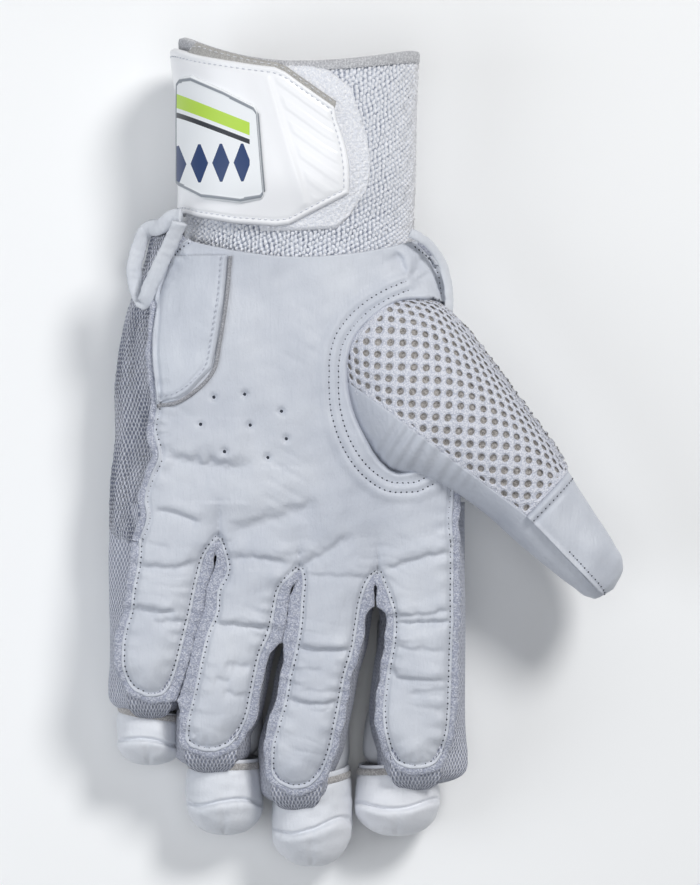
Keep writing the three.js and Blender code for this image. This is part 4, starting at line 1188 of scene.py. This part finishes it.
def strapPlace(t, v, out):
    # t along the strap from its free end, v across it from its lower edge
    lowX, lowY, highX, highY = strapEdges(t)
    x = lowX + (highX - lowX) * v + 1.6 * np.sin(math.pi * np.clip(v * 1.2, 0, 1)) * (1 - smoothStep(t, 0, 0.1))
    y = lowY + (highY - lowY) * v
    lift = cuff["freeEdge"][0] * (x / 40) ** 2 * np.clip(y / 60, 0, 1.1) ** 3
    theta = cuffTheta(x, y)
    past = np.clip((t - strap["back"][0]) / (1 - strap["back"][0]), 0, 1)
    behind = 2 * math.pi - cuffTheta(strap["back"][1] + 0 * x, y)
    theta = theta + (behind - theta) * past
    px, py, pz = cuffPoint(theta, y, out)
    return px, np.where(x < 0, py - lift * 0.35, py), pz


def strapReach(t):
    # millimetres along the strap's middle
    at = np.linspace(0, 1, 300)
    x, y, z = strapPlace(at, 0 * at + 0.5, 2.0)
    lengths = reachAlong(np.stack((x, y, z), axis=1))
    return np.interp(t, at, lengths)


def strapWidth(t):
    _, lowY, _, highY = strapEdges(t)
    return highY - lowY


def strapRelief(t, v):
    reach = strapReach(t)
    edge = np.minimum(np.minimum(v, 1 - v) * strapWidth(t), reach + 0.2)
    relief = -0.35 * bell(edge - strap["inset"], 0.45)  # the groove that the stitches lie in
    relief -= 1.3 * bell(edge + 0.1, 0.55)  # the edge rounds off
    # a slanted ridge, and beside it shallow ribs towards the free end
    lowX, lowY, highX, highY = strapEdges(t)
    x = lowX + (highX - lowX) * v
    y = lowY + (highY - lowY) * v
    ridge = x - (3.1 + (y - 16.8) / 39.0 * -11.5)
    front = t < strap["back"][0]
    body = smoothStep(edge, 2.8, 4.2)
    relief += np.where(front, body * 0.5 * smoothStep(-ridge, -0.9, 0.4) * bell(ridge + 0.6, 2.6), 0)
    ribs = np.sin(2 * math.pi * (y + 0.75 * x) / 6.3)
    relief += np.where(front & (ridge > 0), body * 0.2 * smoothStep(ribs, -0.35, 0.35) * smoothStep(ridge, 1.6, 2.6), 0)
    return relief


def addStrap():
    pitch = 0.55
    reach = float(strapReach(1.0))

    at = np.linspace(0, 1, 300)
    shares = strapReach(at) / reach

    def place(u, v):
        # columns as far apart everywhere as the strap's own length asks
        t = np.interp(u, shares, at)
        return strapPlace(t, v, strap["out"] + strap["wall"] + strapRelief(t, v))

    mesh = gridMesh(int(reach / pitch), int(52 / pitch), place)
    outOf(mesh, cuffHeart)
    addPiece("wrist_strap", mesh, moulded("moulded polyurethane", "f6f7fa"), ["strap"],
             wall=strap["wall"])

    lines = []
    row = np.linspace(0.006, 0.995, 400)
    inset = strap["inset"]
    low = [(t, inset / strapWidth(t)) for t in row if strapReach(t) > inset]
    high = [(t, 1 - v) for t, v in low]
    end = [(float(np.interp(inset, strapReach(at), at)), v) for v in np.linspace(0.08, 0.93, 30)]
    for path in (low, high, end):
        t, v = np.array(path).T
        points = np.stack(strapPlace(t, v, strap["out"] + strap["wall"] - 0.2), axis=1)
        lines.append(points)
    addPiece("strap_stitches", threads(lines, 2.1, 1.35, 0.5),
             terry("bonded polyester thread", "eceef3", "c3c7d0", loop=0.3, depth=0.05))


# Loop patch: the pile that the strap's end grips, a little larger than the end
loopPatch = {
    "lower": [(-12.0, 6.5), (-3.7, 6.5), (12.9, 7.3), (17.3, 11.2), (23.3, 20.7)],
    "upper": [(-12.0, 61.0), (3.5, 61.0), (10.7, 59.3), (17.9, 53.2), (22.9, 37.7)],
}


def addLoopPatch():
    def place(u, v):
        x, y, _ = patchPlace(loopPatch, u, v)
        x = x + 1.2 * np.sin(math.pi * v) * u ** 4
        pile = 0.22 * uneven(x, y, 1.4, seed=41, count=9)
        rim = np.minimum(np.minimum(v, 1 - v) * 50, (1 - u) * 30)
        return cuffPoint(cuffTheta(x, y), y, 1.3 + pile - 1.0 * bell(rim, 0.6))

    mesh = gridMesh(90, 130, place)
    outOf(mesh, cuffHeart)
    addPiece("loop_pile", mesh, terry("nylon loop pile", "fbfbfd", "dfe2ea", loop=0.6, depth=0.3),
             ["loop_patch"], wall=1.0)


def addHookBacking():
    # the grey band that shows along the strap's upper edge, with its own row of stitches: grey hook tape, its grey
    # partly painted shade under the strap's edge
    def place(u, v):
        t = 0.01 + 0.8 * u
        _, _, x, y = strapEdges(t)
        y = y - 3 + 4.3 * v * (1 - 0.75 * smoothStep(u, 0.93, 1))
        return cuffPoint(cuffTheta(x + 1.2 * (1 - u) * v, y), y, 2.6 - 1.0 * np.exp(-((1 - v) * 4.3 / 0.6) ** 2))

    mesh = gridMesh(110, 12, place)
    outOf(mesh, cuffHeart)
    # the tape's grey colours are partly painted shade under the strap's edge
    addPiece("hook_backing_and_shade", mesh, terry("hook tape backing and painted shade", "c2c0bd", "a09e9b", loop=0.4, depth=0.08),
             wall=0.9)
    x, y, z = place(np.linspace(0.02, 0.98, 120), np.full(120, 0.8))
    addPiece("hook_stitches", threads([np.stack((x, y, z + 0.1), axis=1)], 2.4, 1.5, 0.42),
             terry("tape thread", "ebecef", "c5c7cb", loop=0.3, depth=0.05))


# Badge: a raised plate with a row of lozenges between two bars
badge = {
    "lower": [(-36.6, 22.5), (-35.6, 21.3), (-29.0, 17.0), (-17.3, 15.3), (-11.0, 16.6), (-10.2, 18.0)],
    "upper": [(-36.6, 54.6), (-35.6, 56.0), (-32.3, 56.6), (-22.6, 52.4), (-13.2, 47.4), (-12.2, 45.6)],
}


def badgeMaterial():
    material, tree = newMaterial("printed TPU badge")
    across, up = split(tree, flatMap(tree))

    def calculate(operation, a, b=0.0, c=0.0):
        return maths(tree, operation, a, b, c)

    def band(value, middle, half):
        away = calculate("ABSOLUTE", calculate("SUBTRACT", value, middle / 1000))
        return calculate("LESS_THAN", away, half / 1000)

    # lozenges repeat every 6.4 mm; the bars rise towards the left
    column = calculate("PINGPONG", calculate("SUBTRACT", across, 0.0027), 0.0032)
    away = calculate("ABSOLUTE", calculate("SUBTRACT", up, 0.0135))
    lozenge = calculate("LESS_THAN", calculate("MULTIPLY_ADD", away, 0.36, column), 0.0026)
    lozenge = calculate("MULTIPLY", lozenge, band(up, 13.5, 6.2))
    slope = calculate("MULTIPLY_ADD", across, 0.42, up)
    bars = [(lozenge, "1d3a6b"), (band(slope, 34.6, 2.1), "b9dd4c"), (band(slope, 30.4, 0.8), "2c3038")]
    inner = band(across, 13.2, 11.0)
    colour = linear("eef1f4")
    for mask, tone in bars:
        colour = mixed(tree, calculate("MULTIPLY", mask, inner), colour, linear(tone))
    return dressed(material, mixed(tree, attribute(tree, "rim"), colour, linear("8d939b")), roughness=0.42)


def addBadge():
    rims = []

    def place(u, v):
        x, y, high = patchPlace(badge, u, v)
        edge = np.minimum(np.minimum(v, 1 - v) * high, np.minimum(u, 1 - u) * 27)
        rims.append(((edge > 0.7) & (edge < 1.8)).astype(np.float32))
        out = strap["out"] + strap["wall"] + 0.9 - 1.2 * bell(edge + 0.1, 0.4)
        out = out + 0.25 * bell(edge - 1.2, 0.5)
        lift = cuff["freeEdge"][0] * (x / 40) ** 2 * np.clip(y / 60, 0, 1.1) ** 3
        px, py, pz = cuffPoint(cuffTheta(x, y), y, out)
        return px, py - lift * 0.6, pz

    def lay(u, v):
        x, y, _ = patchPlace(badge, u, v)
        return x + 38.6, y - 15.3

    mesh = gridMesh(90, 120, place, lay)
    keepValue(mesh, "rim", rims[0])
    outOf(mesh, cuffHeart)
    addPiece("badge_print", mesh, badgeMaterial(), ["badge_plate"], wall=1.0)


# Rolls: stuffed tubes along the back of each finger and of the hand, nipped where they bend

rolls = {
    "table": [(0.0, 0.65), (0.07, 0.95), (0.27, 0.97), (0.33, 0.74), (0.39, 0.97), (0.61, 0.97), (0.67, 0.74),
              (0.73, 0.97), (0.93, 0.95), (1.0, 0.65)],
    "width": 25.6, "rise": 4.0, "rest": 1.2,
}


def rollMaterial():
    # a plainer and paler leather than the palm's
    material, tree = newMaterial("roll sheepskin")
    place = objectPlace(tree)
    colour = ramp(tree, noise(tree, place, 30, 5.0), [(0.3, "cdd1d9"), (0.7, "e2e5ea")])
    return dressed(material, colour, bumped(tree, noise(tree, place, 1.4, 6.0, 0.7), 0.5, 0.12))


def addRoll(name, node, start, end, middleAt, widthAt, topAt, material, seed):
    length = start - end

    def place(u, v):
        full = column(rolls["table"], 1, v)
        top = topAt(v)
        half = widthAt(v) / 2 * (0.85 + 0.15 * (full - 0.62) / 0.38)
        ends = np.clip(1 - (np.minimum(v, 1 - v) * length / 5 - 1) ** 2, 0, 1)
        ends = np.where(np.minimum(v, 1 - v) * length < 5, np.sqrt(ends), 1)
        half = half * (0.55 + 0.45 * ends)
        theta = 2 * math.pi * u
        across, height = np.cos(theta), np.abs(np.sin(theta))
        x = middleAt(v) + half * powered(across, 0.75)
        seam = top * 0.55
        rise = np.where(np.sin(theta) >= 0, top * 0.45 * height ** 0.8,
                        -(seam + rolls["rest"]) * full * height ** 0.75)
        z = seam + rise * (0.4 + 0.6 * ends)
        pucker = np.exp(-((v - 1 / 3) * length / 3.5) ** 2) + np.exp(-((v - 2 / 3) * length / 3.5) ** 2)
        crease = 0.35 * pucker * np.sin(theta * 11 + seed) + 0.25 * uneven(x + seed * 9, start - v * length, 13, seed)
        x = x + across * crease
        z = z + np.sin(theta) * crease
        return x, start - v * length, np.maximum(z, 0.05 + 0.05 * np.abs(across))

    mesh = closed(welded([gridMesh(72, int(length / 0.9), place, lambda u, v: (u * 80, v * length))]))
    addPiece(name, mesh, material, [node])


caps = {
    # where the mouth's middle lies, the length from it to the tip, the middle and width, and how far
    # the mouth's right side is nearer the wrist than its left
    "little": {"mouth": -156.0, "length": 17.6, "middle": -50.4, "width": 22.7, "slant": -3.6},
    "ring": {"mouth": -173.4, "length": 24.0, "middle": -24.8, "width": 26.5, "slant": 0.0},
    "middle": {"mouth": -179.2, "length": 29.0, "middle": 4.8, "width": 27.5, "slant": 5.5},
    "index": {"mouth": -174.8, "length": 23.0, "middle": 33.6, "width": 28.6, "slant": 1.5},
}
fingerLines = {
    # the middle of the finger at its root, half way and at its end
    "little": (-42.0, -47.3, -49.6), "ring": (-12.8, -21.0, -28.6),
    "middle": (13.9, 8.4, -0.8), "index": (41.0, 41.0, 39.9),
}
fingerEnds = {"little": -151.8, "ring": -169.0, "middle": -177.0, "index": -172.0}


def addRolls():
    material = rollMaterial()
    for i, name in enumerate(fingerNames):
        root, bend, end = fingerLines[name]
        capWidth, capMiddle = caps[name]["width"], caps[name]["middle"]
        last = fingerEnds[name] - 2.2

        def middle(v, root=root, bend=bend, end=end, capMiddle=capMiddle):
            line = np.interp(v * 0.9, [0, 0.5, 1], [root, bend, end])
            return line + (capMiddle - line) * v ** 2

        addRoll(name + "_finger_roll", name + "_roll", -95.7, last, middle,
                lambda v, w=capWidth: rolls["width"] + (min(rolls["width"], w * 0.95) - rolls["width"]) * v,
                lambda v: 20 - 3 * v + rolls["rise"], material, i)
        addRoll(name + "_hand_roll", name + "_back_roll", -2.0, -95.1,
                lambda v, root=root: root * (0.93 + 0.07 * v),
                lambda v: rolls["width"] * (0.93 + 0.07 * v),
                lambda v: np.interp(-2 - 93.1 * v, [-96, -78, -60, -42, -24, -12, 0],
                                    [20, 20, 19, 17, 15, 12.4, 10]) + rolls["rise"], material, i + 5)


# Caps: padded leather hoods over the finger ends, with a binding round the mouth and a seam on the tip

def addCaps():
    material = sheepskin("cap sheepskin", pale="e4e6ec", dark="d2d6dd", roughness=0.48)
    binding = terry("cap binding tape", "cfcdcb", "9c9998", loop=0.5, depth=0.15)
    for i, name in enumerate(fingerNames):
        shape = caps[name]
        start, length, centre, width, slant = (shape[key] for key in ("mouth", "length", "middle", "width", "slant"))

        def place(u, v, start=start, length=length, centre=centre, width=width, slant=slant, i=i):
            v = v * 1.1 - 0.1
            wide = np.where(v < 0.45, 1 - 0.09 * np.clip((0.3 - v) / 0.4, 0, 1) ** 2,
                            np.clip(1 - np.clip((v - 0.45) / 0.55, 0, 1) ** 2.7, 0, 1) ** 0.48)
            theta = 2 * math.pi * u
            across, height = np.cos(theta), np.abs(np.sin(theta))
            x = centre + width / 2 * wide * powered(across, 0.86)
            z = 15.5 + np.where(np.sin(theta) >= 0, 1.0, -1.0) * 15.6 * wide * height ** 0.86
            y = start - length * v + slant * across * 0.5 * (1 - smoothStep(v, 0.3, 1))
            bend = 0.5 + 0.05 * np.sin(theta * 3 + i)
            fold = np.exp(-((v - bend) * length / 0.65) ** 2) * smoothStep(height, 0.1, 0.5)
            under = np.exp(-((v - bend - 0.09) * length / 2.2) ** 2) * smoothStep(height, 0.1, 0.5)
            seam = np.exp(-(across * width / 2 * wide / 0.45) ** 2) * smoothStep(v, bend, bend + 0.06)
            out = 0.8 * under - 1.5 * fold - 1.2 * seam + 0.3 * uneven(x + 40 * i, y, 14, seed=50)
            out = out + 0.12 * uneven(x + 40 * i, y * 2.0, 6, seed=51) * smoothStep(v, 0.0, 0.2)
            out = out - 0.9 * np.exp(-(v * length / 1.2) ** 2)
            out = out * smoothStep(1 - v, 0, 0.08)
            return x + across * out, y, np.maximum(z + np.sin(theta) * out, 0.05)

        mesh = welded([gridMesh(110, 76, place)], gap=0.02, outwards=True)
        addPiece(name + "_hood", mesh, material, [name + "_cap"], wall=1.2)
        x, y, z = place(np.linspace(0, 1, 120), np.full(120, 0.09))
        points = np.stack((x, y, z), axis=1)
        out = points - [centre, start, 15.5]
        out[:, 1] = 0
        out /= np.linalg.norm(out, axis=1, keepdims=True)
        towards = np.tile([0.0, 1.0, 0.0], (len(points), 1))
        band = welded([sweep(points + out * 0.5, out, towards, roundSection(1.4, 2.4, 10))], outwards=True)
        addPiece(name + "_hood_binding", band, binding)


def addThumbPad():
    def place(u, v):
        along = 102.0 + 51.5 * v
        left, right, _, depth = thumbRow(along)
        ends = np.sqrt(np.clip(1 - (2 * v - 1) ** 4, 0, 1))
        bottom = thumb["middle"] - depth
        theta = 2 * math.pi * u
        across, height = np.cos(theta), np.abs(np.sin(theta))
        half = (right - left) / 2 * 0.88 * (0.35 + 0.65 * ends)
        b = (left + right) / 2 + half * powered(across, 0.75)
        seam = bottom - 0.8
        z = seam + np.where(np.sin(theta) >= 0, 3.5 * height ** 0.8, -10.2 * height ** 0.75) * (0.4 + 0.6 * ends)
        nip = np.exp(-((v - 0.45) * 51 / 3.0) ** 2)
        z = z + np.where(np.sin(theta) < 0, 2.0 * nip * height, 0)
        return *fromThumbLine(along, b), z

    mesh = welded([gridMesh(60, 60, place)], gap=0.02, outwards=True)
    addPiece("thumb_back_pad", mesh, rollMaterial(), ["thumb_pad"])


# Heel patch: a second leather over the outer heel, its right edge stitched down over a welt painted grey as shade

heelEdge = [(-39.5, 3.5), (-23.0, -1.7), (-24.3, -16.3), (-26.7, -31.3), (-28.3, -39.0), (-35.7, -47.0),
            (-40.3, -49.7), (-46.7, -50.7)]


def addHeelPatch():
    right = heelEdge[1:]

    def place(u, v):
        y = -1.4 - 49.0 * v
        leftX = xOf(hand["left"], y) + 0.4
        rightX = np.interp(-y, [-p[1] for p in right], [p[0] for p in right])
        x = leftX + (rightX - leftX) * u
        z = leatherHeight(x, y)
        d, _ = distanceTo(x, y, right)
        z = z + 1.5 - 1.0 * bell(d, 0.7) - 0.35 * bell(d - 2.2, 0.5) \
            + 0.2 * uneven(x, y, 11, seed=61)
        return x, y, z

    mesh = gridMesh(44, 76, place)
    facingUp(mesh)
    addPiece("heel_leather", mesh, sheepskin("heel sheepskin", pale="ccd1da", dark="b7bcc7"), ["heel_patch"],
             wall=1.1)
    line = evenly(right, 0.6)
    z = leatherHeight(line[:, 0], line[:, 1]) + 0.7
    welt = tubeAlong(np.column_stack((line + normalsAlong(line) * 0.9, z)), 1.3, 1.0)
    # the welt's grey is painted shade along the patch's edge
    addPiece("heel_welt", welded([welt], outwards=True),
             terry("welt piping painted as shade", "b9bbc0", "85868c", loop=0.4, depth=0.1))
    seam = line - normalsAlong(line) * 2.2
    z = leatherHeight(seam[:, 0], seam[:, 1]) + 1.5
    addPiece("heel_stitches", threads([np.column_stack((seam, z))], 2.0, 1.2, 0.4), threadMaterial())


def addStitches():
    thread = threadMaterial()
    lines = []
    for name, line in edges.items():
        inside = line - outOfLeather(name, line) * 1.5
        z = leatherHeight(inside[:, 0], inside[:, 1]) + 0.02
        lines.append(np.column_stack((inside, z)))
    ring = evenly(thumbRing, 0.5)
    for line in (ring, evenly(thumbRingInner, 0.5)):
        lines.append(np.column_stack((line, leatherHeight(line[:, 0], line[:, 1]) + 0.02)))
    addPiece("edge_stitches", threads(lines, 1.85, 1.0, 0.42), thread)
    addPiece("edge_needle_hole_shade", needleHoles(lines, 1.85), holeMaterial())
    vents = [(x, y, float(leatherHeight(np.array([x]), np.array([y]))[0])) for x, y in hand["vents"]]
    # dark discs of painted shade inside the palm's vents
    addPiece("palm_vent_shade", discs([(x, y, z + 0.1) for x, y, z in vents], 1.0, 0.4, 14, 6), holeMaterial())


# Leather binding round the vent at the heel, and round the rim of the knitted back

vent = [(-38.5, 11.5, 50.5), (-40.5, 11.5, 49.0), (-45.7, 8.3, 46.0), (-50.3, 7.3, 42.5), (-53.0, 2.0, 40.0),
        (-54.7, -6.3, 39.5), (-53.0, -14.7, 41.0), (-51.5, -17.0, 43.5), (-49.0, -11.3, 45.0), (-45.0, -3.0, 46.0),
        (-41.5, 4.0, 48.5), (-39.0, 9.5, 51.5)]


def addBindings():
    material = sheepskin("binding sheepskin", pale="d9dce2", dark="c0c5ce")
    line = evenly(vent, 0.6)
    mesh = closed(welded([tubeAlong(line, 5.4, 2.0, up=(0.35, 0, 1), count=14)]))
    roughen(mesh, 0.14, 2.2, seed=71)
    addPiece("vent_binding", mesh, material, ["vent_loop"])

    y = 6.5
    left, right, swellLeft, swellRight, seam, _, floor = (float(value) for value in handRow(y))
    theta = np.linspace(0.16, math.pi - 0.16, 120)
    x, z = underside(theta, left, right, swellLeft, swellRight, seam, floor)
    keep = z < seam - 6
    back = y + 2.9 - 9 * smoothStep(x[keep], 12, 42)  # the rim steps back on the thumb's side
    line = evenly(np.column_stack((x[keep], back, z[keep] + 0.6)), 0.8)
    side = evenly([(37.6, 6.0, 51.5), (41.5, 4.2, 50.5), (45.6, 0.5, 48.2), (48.9, -5.0, 46.2),
                   (50.6, -12.0, 45.0), (50.8, -20.0, 44.6)], 0.7)
    mesh = closed(welded([tubeAlong(line, 5.0, 5.0, up=(0, 1, 0), count=14),
                          tubeAlong(side, 3.2, 1.5, up=(0.5, 0, 1), count=12)]))
    roughen(mesh, 0.14, 2.6, seed=72)
    addPiece("rim_leather", mesh, material, ["rim_binding"])


def addFloor():
    bm = bmesh.new()
    bmesh.ops.create_grid(bm, x_segments=1, y_segments=1, size=3)
    mesh = meshFrom(bm)
    floor = bpy.data.objects.new("floor", mesh)
    floor.location = (0, 0, -0.0005)
    mesh.materials.append(plain("studio paper", "f4f5f6", 0.9))
    bpy.context.scene.collection.objects.link(floor)


addCamera()
addLamps()
addFloor()
print("stage ready")

palm = addPalm()
surfaceAt = heightsOf(palm.data)
print("palm ready")
addFlange(surfaceAt)
addStitches()
addHandBack()
addGussets()
addHeelPatch()
addBindings()
print("hand ready")
addThumbMesh()
addThumbTip()
addThumbLeather()
addThumbPad()
print("thumb ready")
addCuff()
addLoopPatch()
addHookBacking()
addStrap()
addBadge()
print("cuff ready")
addRolls()
addCaps()
print("rolls and caps ready")
